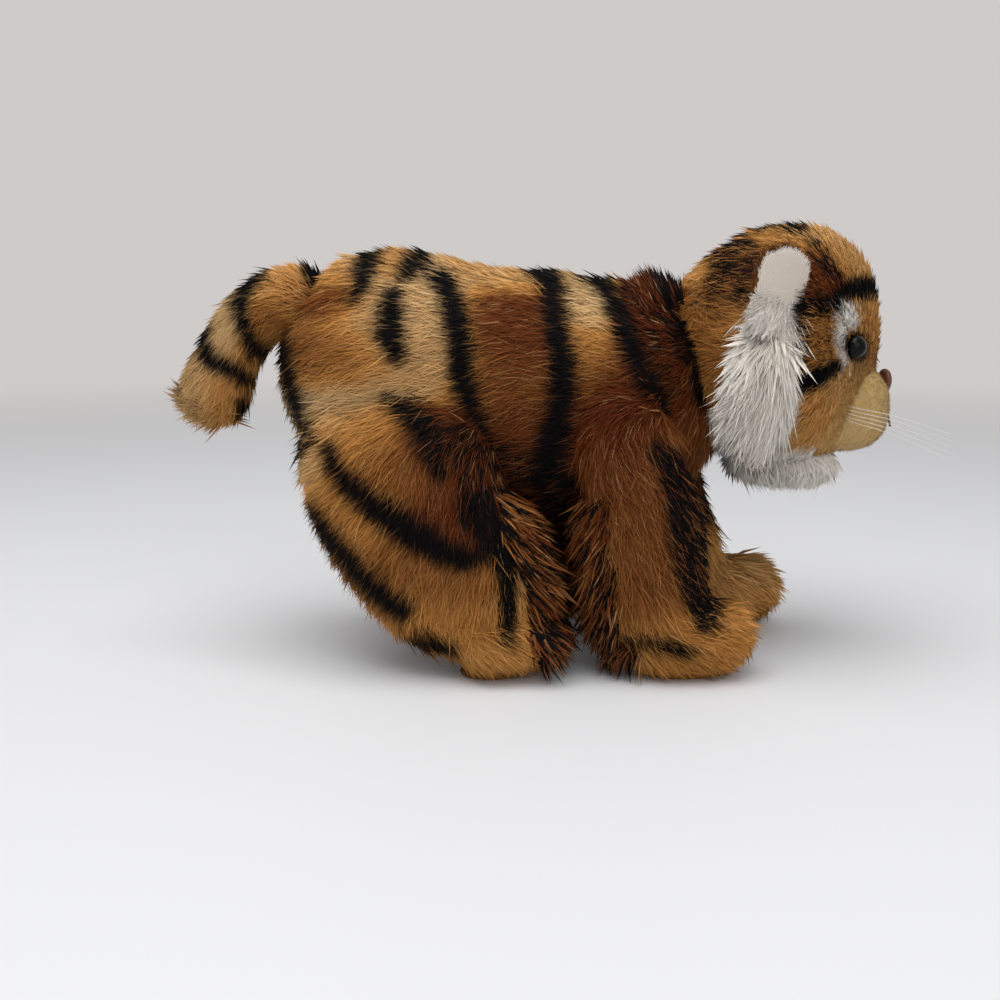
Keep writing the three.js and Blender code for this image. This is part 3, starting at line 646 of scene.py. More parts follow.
# each stroke: its strength, then u, v and its half width at each place along it
rumpLine = (1, 279, 322, 5, 284, 345, 8, 288, 370, 8, 294, 395, 8, 302, 420, 6, 312, 442, 3)
stripesAndShade = {
    "torso": [
        (1, 380, 236, 11, 367, 262, 11, 361, 285, 10, 354, 300, 5),
        (1, 430, 236, 11, 415, 262, 11, 405, 274, 7),
        (1, 394, 295, 9, 391, 308, 12, 391, 332, 14, 396, 352, 10, 398, 362, 3),
        (0.6, 428, 270, 7, 446, 282, 12),
        (1, 444, 284, 11, 452, 298, 11, 457, 322, 13, 461, 347, 13, 461, 372, 12, 468, 397, 11, 478, 417, 8,
         486, 432, 3),
        (1, 528, 240, 9, 538, 266, 12, 552, 282, 12, 555, 305, 12, 558, 330, 12, 562, 355, 13, 563, 385, 13,
         560, 410, 12, 553, 435, 11, 545, 462, 10, 540, 485, 6),
        (1, 575, 240, 12, 590, 266, 14, 606, 284, 10, 615, 305, 9, 623, 328, 10, 633, 352, 10, 645, 378, 9,
         657, 398, 9, 665, 418, 4),
        (0.93, 660, 240, 18, 668, 268, 18, 676, 290, 18, 686, 315, 16, 695, 340, 13, 700, 365, 10, 704, 400, 7),
        (0.8, 655, 305, 4, 672, 335, 5, 684, 360, 4),
        (0.35, 628, 290, 10, 645, 335, 14, 662, 390, 12),
        (0.3, 626, 236, 14, 638, 258, 12, 650, 285, 8),
        rumpLine,
        (0.75, 388, 402, 8, 408, 412, 12, 424, 428, 14, 432, 448, 12),
        # painted shade: the belly darker where it lies in shadow between the legs
        (0.55, 470, 450, 20, 505, 470, 28, 550, 500, 34, 580, 530, 20),
        (0.85, 556, 430, 15, 550, 465, 18, 560, 500, 16),
    ],
    "hind": [
        rumpLine,
        (1, 329, 447, 6, 337, 470, 10, 354, 491, 12, 376, 508, 13, 398, 525, 15, 420, 538, 16, 442, 552, 13,
         464, 560, 11, 482, 556, 7),
        (1, 312, 508, 6, 324, 528, 9, 340, 550, 10, 357, 570, 10, 378, 590, 11, 400, 610, 11),
        (0.85, 386, 400, 7, 408, 412, 12, 424, 428, 14, 434, 452, 13, 440, 474, 6),
        # painted shadow in the crease between the thigh and the belly
        (0.9, 478, 512, 20, 500, 530, 26, 506, 556, 20),
        (0.5, 455, 440, 16, 478, 465, 24, 482, 495, 24),
        (0.9, 506, 560, 11, 509, 600, 9, 508, 640, 6),
        (0.5, 545, 560, 10, 556, 600, 14, 556, 640, 14),
        (1, 300, 446, 5, 290, 470, 4),
        (1, 395, 655, 7, 420, 640, 8, 450, 650, 6),
    ],
    "front": [
        (0.86, 660, 452, 11, 680, 475, 20, 690, 505, 25, 696, 535, 27, 700, 565, 27, 704, 595, 22, 708, 622, 12),
        (0.55, 560, 485, 8, 575, 505, 9, 589, 530, 8, 595, 552, 4),
        (0.9, 600, 650, 6, 640, 640, 7, 690, 652, 5),
    ],
    "head": [
        (0.85, 800, 306, 9, 818, 306, 10, 834, 304, 8),
        (1, 800, 300, 4, 799, 330, 3, 800, 372, 4),
        (1, 838, 296, 5, 850, 290, 9, 868, 287, 10, 886, 292, 8),
        (1, 802, 384, 9, 818, 377, 9, 835, 366, 6),
        (0.85, 720, 236, 4, 742, 240, 8, 752, 246, 5),
        (0.9, 752, 224, 8, 775, 218, 9, 800, 226, 8),
        (0.8, 752, 262, 5, 770, 255, 6, 790, 247, 4),
        (0.7, 712, 252, 8, 735, 246, 10, 716, 285, 10, 712, 300, 6),
        (0.6, 738, 298, 9, 746, 280, 10, 755, 262, 8),
        (0.5, 728, 262, 12, 735, 275, 12),
        (0.12, 694, 300, 6, 715, 315, 8),
        (0.6, 815, 246, 6, 826, 262, 8, 836, 278, 5),
        (1, 856, 345, 11, 858, 352, 9),
        (0.5, 806, 318, 1, 808, 362, 1),
        (0.4, 816, 322, 0.5, 818, 358, 0.5),
        (0.4, 827, 325, 0.5, 830, 352, 0.5),
    ],
    "tail": [
        (1, 306, 250, 8, 311, 268, 9, 317, 285, 6),
        (1, 258, 272, 8, 246, 288, 8, 240, 305, 8, 243, 322, 6, 249, 338, 7, 256, 352, 9, 266, 356, 7),
        (1, 203, 322, 6, 203, 345, 7, 208, 358, 8, 220, 365, 7, 234, 371, 8, 246, 380, 7),
        (1, 242, 404, 6, 246, 415, 7, 244, 426, 5),
    ],
}
whites = {
    "head": [
        (1, 840, 303, 7, 845, 311, 12, 849, 319, 11, 853, 326, 5),
        (1, 842, 328, 8, 842, 345, 6, 846, 370, 5),
        (1, 779, 306, 20, 782, 325, 18, 774, 370, 26, 768, 410, 30, 745, 440, 40),
        (1, 720, 470, 26, 780, 476, 26, 830, 470, 20, 850, 462, 12),
    ],
}
# each cloud: u, v, how far it spreads both ways, and the dye: 0 straw, 0.35 golden, 0.7 brown, 1 rust
clouds = {
    "torso": [
        (330, 405, 60, 22, 0), (325, 360, 50, 24, 0.62), (400, 345, 50, 50, 0.14), (325, 300, 24, 14, 0.72),
        (300, 275, 30, 14, 0.3), (395, 258, 14, 14, 0.3), (425, 310, 14, 34, 0.06), (340, 435, 50, 18, 0.4),
        (500, 272, 34, 16, 0.2), (508, 325, 26, 28, 0.8), (505, 390, 34, 26, 0.68), (500, 430, 40, 16, 0.8),
        (592, 300, 14, 34, 0.04), (590, 350, 18, 20, 0.5), (596, 385, 24, 20, 0.66), (605, 430, 40, 26, 0.94),
        (640, 320, 14, 40, 0.9), (640, 285, 10, 16, 0.8), (648, 255, 16, 12, 0.3), (672, 400, 26, 50, 0.88),
        (690, 440, 26, 24, 0.62), (450, 440, 30, 24, 0.85), (520, 460, 50, 24, 0.8), (610, 470, 40, 20, 0.8),
        # (470, 520) is browner as painted shade under the belly
        (470, 520, 80, 30, 0.8), (560, 248, 60, 8, 0.3), (700, 330, 14, 60, 0.95), (560, 560, 60, 30, 0.75),
    ],
    "hind": [
        (300, 400, 40, 60, 0.04), (345, 435, 44, 18, 0.4), (380, 470, 40, 22, 0.58), (430, 480, 24, 20, 0.66),
        # (395, 565) is browner low on the thigh, painted shade where light from above reaches less
        (330, 530, 40, 30, 0.42), (395, 565, 40, 20, 0.58), (455, 590, 30, 16, 0.58), (450, 445, 34, 24, 0.85),
        (455, 510, 26, 26, 0.9), (530, 575, 18, 40, 0.3), (565, 600, 20, 60, 0.9), (440, 620, 60, 16, 0.45),
        (460, 660, 80, 20, 0.36),
    ],
    "front": [
        (605, 425, 44, 26, 0.94), (600, 480, 34, 26, 0.74), (620, 540, 36, 36, 0.66), (610, 590, 40, 30, 0.66),
        (670, 430, 26, 24, 0.72), (600, 560, 12, 26, 0.4), (572, 550, 16, 50, 0.85), (655, 500, 14, 40, 0.72),
        (640, 650, 90, 24, 0.42),
    ],
    "head": [
        (790, 232, 50, 10, 0.24), (720, 285, 34, 40, 0.5), (735, 320, 18, 16, 0.36), (818, 280, 14, 14, 0.9),
        (842, 258, 20, 12, 0.24), (872, 320, 12, 26, 0.34), (882, 360, 8, 20, 0.62), (822, 335, 20, 22, 0.5),
        (815, 410, 26, 24, 0.34), (800, 445, 30, 12, 0.26), (850, 400, 20, 40, 0.2), (695, 262, 16, 14, 0.1),
        (785, 272, 8, 10, 0.62), (822, 268, 14, 12, 0.95), (715, 310, 24, 20, 0.62), (760, 240, 34, 12, 0.5),
        (740, 272, 22, 20, 0.75),
    ],
    "tail": [
        (290, 290, 30, 14, 0.3), (262, 318, 12, 14, 0.6), (222, 318, 22, 20, 0.08), (190, 390, 34, 30, 0.12),
        (225, 400, 20, 24, 0.4), (262, 340, 14, 14, 0.55), (250, 390, 12, 20, 0.5),
    ],
}

# the left legs stand a stride ahead of the right ones, and their stripes with them
for kind in ("front", "hind"):
    ahead = 2.6 * legs[kind]["leftStride"]
    stripesAndShade[f"{kind}Left"] = [
        (strength, *(np.reshape(line, (-1, 3)) + (ahead, 0, 0)).ravel()) for strength, *line in stripesAndShade[kind]]
    clouds[f"{kind}Left"] = [(u + ahead, *rest) for u, *rest in clouds[kind]]
# its front paw has no black on it: the stroke ends three places sooner
stripesAndShade["frontLeft"][0] = stripesAndShade["frontLeft"][0][:-9]
clouds["frontLeft"].append((765, 600, 44, 44, 0.24))

# in the picture's units: how far fibres stray over an edge, how far stripes are wider than
# drawn, how soft the edges are; and the share of black on fibres that a weak stripe misses
dyeing = {"stray": 8, "wider": 2.5, "stripeEdge": 7, "whiteEdge": 5, "missed": 0.15}


def dye(points, region, chance):
    # dark, warm and pale at each place, painted shade among them; warm is the clouds' mean, weighted by nearness
    u, v = seenFromSide(points)
    ragged = (chance - 0.5) * dyeing["stray"]
    another = chance * 7.3 % 1
    dark, pale = np.zeros(len(u)), np.zeros(len(u))
    for strength, *line in stripesAndShade[region]:
        inside = np.clip((stroke(u, v, line) + dyeing["wider"] + ragged) / dyeing["stripeEdge"] + 0.5, 0, 1)
        dark = np.maximum(dark, inside * np.where(another < strength, 1, dyeing["missed"]))
    for strength, *line in whites.get(region, []):
        inside = np.clip((stroke(u, v, line) + ragged) / dyeing["whiteEdge"] + 0.5, 0, 1)
        pale = np.maximum(pale, inside * strength)
    weight, warm = np.full(len(u), 1e-9), np.zeros(len(u))
    for cu, cv, ru, rv, value in clouds[region]:
        near = np.exp(-((u - cu) / ru) ** 2 - ((v - cv) / rv) ** 2) + 1e-7
        weight += near
        warm += near * value
    return dark, warm / weight, pale


def dyed(region):
    return lambda points, chance: dye(points, region, chance)


def plainDye(dark, warm, pale):
    return lambda points, chance: tuple(np.full(len(points), float(value)) for value in (dark, warm, pale))


# Pile

def wander(points, seed, size):
    # a slow, smooth unevenness from -1 to 1, the sum of three waves of random direction
    rng = np.random.default_rng(seed)
    total = np.zeros(len(points))
    for k in range(3):
        direction = rng.normal(size=3)
        direction /= np.linalg.norm(direction)
        wave = size * (0.7 + 0.3 * k)
        total += np.sin(points @ direction * 2 * np.pi / wave + rng.uniform(0, 6.3))
    return total / 3


def onSkin(piece, clear, keep):
    # the skin's triangles that lie outside the other skins, with their areas in mm²
    points, tris = placesOf(piece), trianglesOf(piece.data)
    a, b, c = (points[tris[:, k]] for k in range(3))
    cross = np.cross(b - a, c - a)
    areas = np.linalg.norm(cross, axis=1) / 2
    middles = (a + b + c) / 3
    # the corners' normals are the area-weighted sums of their faces' ones
    normals = np.zeros_like(points)
    for k in range(3):
        np.add.at(normals, tris[:, k], cross)
    weights = areas * keep(middles, normalised(cross))
    for other, depth in clear:
        hidden = np.zeros(len(tris), bool)
        for k in np.flatnonzero(weights > 0):
            spot = Vector(middles[k])
            near, normal, _, _ = trees[other].find_nearest(spot)
            hidden[k] = (spot - near).dot(normal) < -depth
        weights[hidden] = 0
    return points, tris, normalised(normals), weights


# how the fibres of every pile differ from one another
habit = {
    # as shares of the fibre's length
    "low": 0.62, "stray": 1.12, "tuftLength": 0.1, "fibreLength": 0.15, "lengths": (0.4, 1.5),
    "riseAndLie": (0.45, 0.55), "control": 0.5, "tipNoise": 0.04, "widest": 0.45,
    # in degrees
    "tuftLift": 4, "fibreLift": 5, "lowLift": 8, "strayLift": 7, "yaw": 13,
    # in mm
    "swirlSize": 34, "patchSize": 20, "rootDepth": 0.8, "floor": 0.15, "floorEdge": 0.02,
    # shares of all fibres, of the pile's width and of the way along the tuft
    "strayShare": 0.04, "halfWidths": (0.4, 0.2), "guardWidth": 0.65, "flowNoise": 0.1, "swirlNoise": 0.5,
    "gatherHalfway": 0.3, "lowAlong": 0.6, "printed": (0.4, 0.6), "warmNoise": 0.16,
}


def plantTufts(skin, pile, rng):
    # roots anywhere on the skin; at each the way up, the way the pile lies, turned by a
    # slowly changing angle, and the way across it
    points, tris, normals, weights = onSkin(skins[skin][0], pile["clear"], pile["keep"])
    area = weights.sum()
    tufts = int(area * pile["perMm2"] / pile["perTuft"])
    picked = rng.choice(len(tris), tufts, p=weights / area)
    first, second = rng.random(tufts), rng.random(tufts)
    fold = first + second > 1
    first[fold], second[fold] = 1 - first[fold], 1 - second[fold]
    share = columns(1 - first - second, first, second)[..., None]
    roots = (points[tris[picked]] * share).sum(axis=1)
    up = normalised((normals[tris[picked]] * share).sum(axis=1))
    way = pile["flow"](roots) + rng.normal(size=(tufts, 3)) * habit["flowNoise"]
    way = normalised(way - up * (way * up).sum(axis=1)[:, None])
    uneven = wander(roots, pile["seed"] + 1, habit["swirlSize"]) + habit["swirlNoise"] * rng.normal(size=tufts)
    way = turned(way, np.cross(up, way), np.radians(pile["swirl"]) * uneven)
    return area, roots, up, way, np.cross(up, way)


def bendFibres(skin, pile, rng, roots, up, way, side):
    # a tuft's fibres stand round its root and lean together at their ends; each bends
    # from its root towards its control point and on to its tip
    tufts, n = len(roots), len(roots) * pile["perTuft"]
    tuft = np.repeat(np.arange(tufts), pile["perTuft"])
    spread = pile["tuftRadius"] * np.sqrt(rng.random(n))
    angle = rng.uniform(0, 2 * np.pi, n)
    up, way, side = up[tuft], way[tuft], side[tuft]
    offset = way * (spread * np.cos(angle))[:, None] + side * (spread * np.sin(angle))[:, None]
    chance = rng.random(n)
    # some fibres are short ones down in the pile, and a few long ones stray
    low = rng.random(n) < pile["lowShare"]
    stray = rng.random(n) < habit["strayShare"]
    kind = np.where(low, habit["low"], np.where(stray, habit["stray"], 1.0))
    tuftLength = (1 + habit["tuftLength"] * rng.normal(size=tufts)
                  + habit["tuftLength"] * wander(roots, pile["seed"] + 2, habit["patchSize"]))
    differ = tuftLength[tuft] * (1 + habit["fibreLength"] * rng.normal(size=n))
    length = pile["length"](roots)[tuft] * kind * np.clip(differ, *habit["lengths"])
    lift = np.radians(pile["lift"] + habit["tuftLift"] * rng.normal(size=tufts)[tuft]
                      + habit["fibreLift"] * rng.normal(size=n)
                      + habit["lowLift"] * low + habit["strayLift"] * stray)
    yaw = np.radians(habit["yaw"]) * rng.normal(size=n)
    ahead = turned(way, side, yaw)
    rise, lie = turned(ahead, up, lift), turned(ahead, up, lift * pile["bend"])
    root = roots[tuft] + offset - up * habit["rootDepth"]
    riseShare, lieShare = habit["riseAndLie"]
    tip = root + length[:, None] * (riseShare * rise + lieShare * lie) - offset * pile["gather"]
    tip[:, 2] -= pile["droop"] * length
    # where the skin curves away, a tuft's ends are drawn down until they stand no
    # higher over it than on a flat place
    high = pile["length"](roots) * (0.1 + 0.6 * math.sin(math.radians(pile["lift"])))
    ends = np.zeros((tufts, 3))
    np.add.at(ends, tuft, tip / pile["perTuft"])
    near = np.array([trees[skin].find_nearest(Vector(spot))[0] for spot in ends])
    gap = np.linalg.norm(ends - near, axis=1)
    drawn = (near - ends) * np.clip((gap - high) / np.maximum(gap, 1e-6), 0, 1)[:, None]
    tip += drawn[tuft]
    tip += rng.normal(size=(n, 3)) * (habit["tipNoise"] * length)[:, None]
    control = root + rise * (habit["control"] * length)[:, None] - offset * pile["gather"] * habit["gatherHalfway"]
    # fibres at the ground lie flat on it
    for some in (root, control, tip):
        some[:, 2] = np.maximum(some[:, 2], habit["floor"])
    fibres = {"root": root, "control": control, "tip": tip, "chance": chance, "up": up, "low": low}
    if pile["bare"]:
        stay = ~(pile["bare"](root) | pile["bare"](tip) | pile["bare"]((root + tip) / 2))
        fibres = {key: values[stay] for key, values in fibres.items()}
    return fibres


fibreSteps = np.array([0, habit["widest"], habit["widest"], 1])  # how far along a sliver's corners lie


def sliverMesh(name, verts, shading):
    # a four-faced sliver for each fibre: its root, both sides of its widest place, its tip
    n = len(verts)
    mesh = bpy.data.meshes.new(name)
    pattern = np.array([(0, 1, 2), (3, 2, 1), (0, 3, 1), (0, 2, 3)])
    faces = (pattern + (np.arange(n) * 4)[:, None, None]).reshape(-1, 3)
    mesh.vertices.add(n * 4)
    mesh.vertices.foreach_set("co", inFrame(verts.reshape(-1, 3)).ravel().astype(np.float32))
    mesh.loops.add(len(faces) * 3)
    mesh.loops.foreach_set("vertex_index", faces.ravel().astype(np.int32))
    mesh.polygons.add(len(faces))
    mesh.polygons.foreach_set("loop_start", np.arange(0, len(faces) * 3, 3, dtype=np.int32))
    smooth(mesh)
    mesh.update()
    mesh.normals_split_custom_set_from_vertices(normalised(shading.reshape(-1, 3)).tolist())
    # each fibre has its own cell of the bake map, used between its margins
    cells = int(math.ceil(math.sqrt(n)))
    cellU, cellV = np.arange(n) % cells, np.arange(n) // cells
    mapU = (cellU[:, None] + 0.2 + 0.6 * np.array([0.5, 0.1, 0.9, 0.5])) / cells
    mapV = (cellV[:, None] + 0.15 + 0.7 * fibreSteps) / cells
    uv = columns(mapU, mapV).reshape(-1, 2)[faces.ravel()]
    mesh.uv_layers.new(name="OFBake").data.foreach_set("uv", uv.ravel().astype(np.float32))
    return mesh


def writeFields(mesh, fields):
    for name, values in fields.items():
        mesh.attributes.new(name, "FLOAT", "POINT").data.foreach_set("value", values.astype(np.float32))


def growPile(name, skin, body, pile):
    # fibres in tufts; each is a sliver along root (1 - s)² + control 2 s (1 - s) + tip s²,
    # pointed at both ends and widest where s is habit["widest"]
    rng = np.random.default_rng(pile["seed"])
    area, *tufts = plantTufts(skin, pile, rng)
    root, control, tip, chance, up, low = bendFibres(skin, pile, rng, *tufts).values()
    n, s = len(root), habit["widest"]
    look = rng.random(n)
    least, more = habit["halfWidths"]
    slim = np.where(look > pileLook["guardFrom"], habit["guardWidth"], 1)
    half = (pile["width"] * (least + more * rng.random(n)) * slim)[:, None]
    chord = normalised(tip - root)
    reach = root * (1 - s) ** 2 + control * 2 * s * (1 - s) + tip * s ** 2 - root
    foot = chord * (reach * chord).sum(axis=1)[:, None]
    above = reach - foot
    thick = np.maximum(np.linalg.norm(above, axis=1)[:, None], half * 0.5)
    above = normalised(above + up * 1e-3)
    wide = np.cross(chord, above)
    middle = root + foot + above * thick
    verts = np.stack([root, middle + wide * half, middle - wide * half, tip], axis=1)
    verts[:, :, 2] = np.maximum(verts[:, :, 2], habit["floorEdge"])
    # light falls on the pile as on the skin below it: each fibre is shaded round across
    # its width, with the skin's own direction at its root and tip
    if pile["lit"]:
        # white pile passes light on, so its lower side is shaded partly as its upper one
        up = normalised(up + pile["lit"] * columns(0, np.sign(root[:, 1]), 0.8))
    mesh = sliverMesh(name, verts, np.stack([up, up + 0.6 * wide, up - 0.6 * wide, up + 0.2 * chord], axis=1))
    # the dye is printed on the pile, so that its edge runs part of the way along a fibre
    printed = root * habit["printed"][0] + tip * habit["printed"][1]
    atMiddle, atTip = (pile["dye"]((printed + end) / 2, chance) for end in (middle, tip))
    dark, warm, pale = (columns(first, first, first, last).ravel() for first, last in zip(atMiddle, atTip))
    # painted shade: fibres down in the pile are darker, and dim darkens a pile further by place
    depth = np.where(low, habit["lowAlong"], 1) * pile["dim"](root)
    along = np.tile(fibreSteps ** pile["shade"], n) * np.repeat(depth, 4)
    writeFields(mesh, {
        "dark": dark,
        "warm": np.clip(warm + habit["warmNoise"] * np.repeat(chance - 0.5, 4), 0, 1),
        "pale": pale,
        "chance": np.repeat(look, 4),
        # short white pile lets the light through to its roots
        "along": along + pale * (1 - along) * pile["bright"],
    })
    mesh.update()
    mesh.validate()
    mesh.materials.append(pile["material"])
    piece = bpy.data.objects.new(name, mesh)
    scene.collection.objects.link(piece)
    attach(piece, body)
    print(f"{name}: {n} fibres on {area:.0f} mm²")


# the cloth's place along a fibre's colours, from its root's painted shade to its end, and its place and warmth
# under short pile
groundCloth = {"along": 0.3, "shortAlong": 0.6, "shortWarm": 0.3}


def colourSkin(name, pattern, material, nodes, shortPlace=None, along=groundCloth["along"]):
    # the ground cloth under the pile takes the pile's dye, dark as the pile's roots are: painted shade under the
    # pile
    piece = skins[name][0]
    points = placesOf(piece)
    chance = np.full(len(points), 0.5)
    dark, warm, pale = pattern(points, chance)
    along = np.full(len(points), along)
    if shortPlace:
        # where the pile is short, the ground shows the colour of its ends, with less painted shade
        short = shortPlace(points)
        along, warm, pale = (
            np.where(short, value, values)
            for value, values in ((groundCloth["shortAlong"], along), (groundCloth["shortWarm"], warm), (0, pale)))
    writeFields(piece.data, {"dark": dark, "warm": warm, "pale": pale, "chance": chance, "along": along})
    piece.data.materials.clear()
    piece.data.materials.append(material)
    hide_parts(*nodes)


# Face

def threadForm(path, radii, sides=8):
    # rings of the given radii square to the path
    path = np.asarray(path, float)
    forward = normalised(np.gradient(path, axis=0))
    across = normalised(np.cross(forward, np.where(np.abs(forward[:, :1]) < 0.8, (1.0, 0, 0), (0, 0, 1.0))))
    for k in range(1, len(across)):
        across[k] = across[k - 1] - forward[k] * (across[k - 1] @ forward[k])
        across[k] /= np.linalg.norm(across[k])
    radii = np.broadcast_to(radii, len(path))
    poles = path[0] - forward[0] * radii[0], path[-1] + forward[-1] * radii[-1]
    return ringForm(path, across, np.cross(forward, across), radii, radii, poles, sides)


def turnedForm(profile, centre, axis, sides=48):
    # the profile's (radius, height) pairs turned about the axis
    profile = np.array(profile, float)
    across = np.cross(axis, (0.0, 0.0, 1.0))
    across /= np.linalg.norm(across)
    line = centre + profile[:, 1:] * axis
    radii = profile[1:-1, 0]
    return ringForm(line[1:-1], across, np.cross(axis, across), radii, radii, line[[0, -1]], sides)


def hardPiece(name, forms, material, nodes):
    piece = meshObject(name, forms, "head")
    piece.data.materials.append(material)
    smooth(piece.data)
    if nodes:
        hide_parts(*nodes)


eye = {
    "x": 122, "z": 113.5, "radius": 4.2, "dome": 2.9, "sink": 1.6, "rim": 1, "stem": 1.5, "stemLength": 13,
    "bare": 3.2,
}


def onFace(x, z, side):
    # a point of the head's surface, and the way it faces
    def halfWidth(atX, atZ):
        place = max(0, (atX - head["x"]) / head["face"])
        high = head["radius"] * (1 - place ** head["high"]) ** (1 / head["high"])
        wide = head["width"] / 2 * (1 - place ** head["wide"]) ** (1 / head["wide"])
        return wide * math.sqrt(max(0, 1 - ((atZ - head["z"]) / high) ** 2))
    step = 0.3
    slopeX = (halfWidth(x + step, z) - halfWidth(x - step, z)) / (2 * step)
    slopeZ = (halfWidth(x, z + step) - halfWidth(x, z - step)) / (2 * step)
    outward = np.array((-slopeX, side, -slopeZ))
    return np.array((x, side * halfWidth(x, z), z)), outward / np.linalg.norm(outward)


eyeSeats = {}
for word, side in sideOf.items():
    seat, outward = onFace(eye["x"], eye["z"], side)
    eyeSeats[word] = seat
    foot = -eye["sink"] - eye["rim"]
    profile = [(radius, -eye["stemLength"]) for radius in (0, eye["stem"])]
    profile += [(radius, foot) for radius in (eye["stem"], eye["radius"])]
    profile += [
        (eye["radius"] * math.cos(angle), -eye["sink"] + (eye["dome"] + eye["sink"]) * math.sin(angle))
        for angle in np.linspace(0, np.pi / 2, 15)]
    profile[-1] = (0, eye["dome"])
    hardPiece(f"eyeBead{word.title()}", [turnedForm(profile, seat, outward)], eyeBead, [f"eye_{word}"])

nose = {"centre": (139.6, 0, 99.8), "halves": (2.1, 6.2, 4.5), "thread": 0.62, "ridge": 0.22, "taper": 0.2}


def noseForm():
    # an ellipsoid drawn in below to a point; each satin stitch is a ridge that runs down
    points, faces = ballForm(nose["centre"], nose["halves"], 168, 36)
    y, z = points[:, 1], (points[:, 2] - nose["centre"][2]) / nose["halves"][2]
    points[:, 0] += nose["ridge"] * np.abs(np.sin(np.pi * y / nose["thread"]))
    points[:, 1] = y * (1 - nose["taper"] + nose["taper"] * z)
    return points, faces


hardPiece("noseStitching", [noseForm()], stitchThread, ["nose"])

mouth = {"top": 96, "fork": 88.5, "end": (8.5, 84.5), "thread": 0.42, "proud": -0.7, "bare": 1.1}


def mouthStitch(y, z):
    # a thread on the muzzle's surface, where |x|^power = 1 - |y|^power - |z|^power
    centre, halves, power = muzzle["centre"], muzzle["halves"], muzzle["power"]
    rest = 1 - np.abs(y / halves[1]) ** power - np.abs((z - centre[2]) / halves[2]) ** power
    x = centre[0] + halves[0] * np.maximum(rest, 0) ** (1 / power) + mouth["proud"]
    return threadForm(columns(x, y, z), mouth["thread"])


mouthForms = [mouthStitch(0, np.linspace(mouth["top"], mouth["fork"], 12))]
share = np.linspace(0, 1, 18)
forkZ = mouth["fork"] + (mouth["end"][1] - mouth["fork"]) * np.sin(share * np.pi / 2)
mouthForms += [mouthStitch(side * mouth["end"][0] * share, forkZ) for side in sideOf.values()]
hardPiece("mouthStitching", mouthForms, mouthThread, [])

whisker = {
    "count": 5, "pitch": 1.2, "middle": 90.5, "reach": 31, "spread": 17, "droop": 10, "radius": 0.14, "taper": 0.6,
    # shares of the reach, the spread, the droop and the fan's droop, at the tip and halfway
    "outside": [(1, 1, 1, 0.5), (0.45, 0.5, 0.35, 0.2)],
    # shares of the muzzle's length behind its front and of its half width
    "inside": [(0.56, 0.96), (0.22, 0.5), (0.14, 0)],
}


def whiskerForm(index):
    # from one tip through the muzzle to the other, thinner towards both
    place = index - (whisker["count"] - 1) / 2
    high, fan = whisker["middle"] + place * whisker["pitch"], place / whisker["count"]
    front, halfWidth = muzzle["centre"][0] + muzzle["halves"][0], muzzle["halves"][1]
    root, inner, crossing = (
        (front - 2 * muzzle["halves"][0] * back, halfWidth * aside, high) for back, aside in whisker["inside"])
    half = [
        (root[0] + reach * whisker["reach"], halfWidth + spread * whisker["spread"],
         high - droop * whisker["droop"] + fanDroop * fan * whisker["droop"])
        for reach, spread, droop, fanDroop in whisker["outside"]] + [root, inner]
    points = half + [crossing] + [(x, -y, z) for x, y, z in half[::-1]]
    share = np.abs(np.linspace(-1, 1, 97))
    radii = whisker["radius"] * (1 - whisker["taper"] * ramp(share, 0.4, 1))
    return threadForm(splineAt(points, np.linspace(0, 1, 97)), radii, 6)


for index in range(whisker["count"]):
    hardPiece(f"whisker{index + 1}", [whiskerForm(index)], nylon, [f"whisker_{index + 1}"])
print("face set")


# Ways the pile lies, and its lengths in mm

# between which places one way or length passes into the next, in mm
turns = {
    "rump": (-62, -80), "chest": (62, 80), "hip": (74, 98), "paw": (30, 18), "ground": (14, 8),
    "shoulder": (84, 100), "legRear": (30, 18), "cheek": (112, 92), "ruffBack": (97, 81), "ruffTop": (84, 98),
    "throat": (93, 98), "nape": (50, 60), "tailTip": (100, 86), "headBack": (122, 92), "brow": (112, 124),
    "headNape": (84, 72), "ruffHigh": (80, 102), "muzzleSeam": (122, 114), "muzzleFront": (116, 130),
}


def torsoFlow(points):
    # back along the body, turning down over the rump and the chest
    x = points[:, 0]
    return columns(-1, 0, -0.14 - 0.9 * ramp(x, *turns["rump"]) - 1.1 * ramp(x, *turns["chest"]))


def hindFlow(points):
    # back and down over the thigh, straighter down towards the knee; forward over the paw
    x, y, z = points.T
    knee = np.clip((x + 60) / 60, 0, 1.3)
    top, paw, ground = (ramp(z, *turns[key]) for key in ("hip", "paw", "ground"))
    ahead = (-0.75 + 0.75 * knee) * (1 - top) - top
    down = (-0.75 - 0.25 * knee) * (1 - top) - 0.25 * top
    return columns(ahead * (1 - paw) + 0.9 * paw, 0, down * (1 - paw) - 0.3 * paw - 1.2 * ground)


def frontFlow(points):
    # as on the body at the shoulder, then down; forward over the paw, down at the ground
    x, y, z = points.T
    top, paw, ground = (ramp(z, *turns[key]) for key in ("shoulder", "paw", "ground"))
    rear = ramp(x, *turns["legRear"]) * (1 - paw)
    ahead = (0.45 - 0.8 * rear + 0.6 * paw) * (1 - top) - top
    return columns(ahead, 0, (-0.85 + 0.5 * paw) * (1 - top) - 0.2 * top - 1.2 * ground)


def tailFlow(points):
    # along the tail's line, fanning out backward past its bend
    line = splineAt(tailLine(), np.linspace(0, 1, 60))
    nearest = np.argmin(((points[:, None] - line[None]) ** 2).sum(-1), axis=1)
    ahead = line[np.minimum(nearest + 1, 59)] - line[np.maximum(nearest - 1, 0)]
    away = normalised(points - line[nearest])
    fan = ramp(nearest[:, None], 34, 54)
    return normalised(ahead) + away * 0.7 * fan + np.array((-0.45, 0, 0.1)) * fan


def headFlow(points):
    # back from the nose, hanging at the cheeks
    way = normalised(points - (141, 0, 106))
    return way + columns(0, 0, -1.1 * ramp(points[:, 2], *turns["cheek"]))


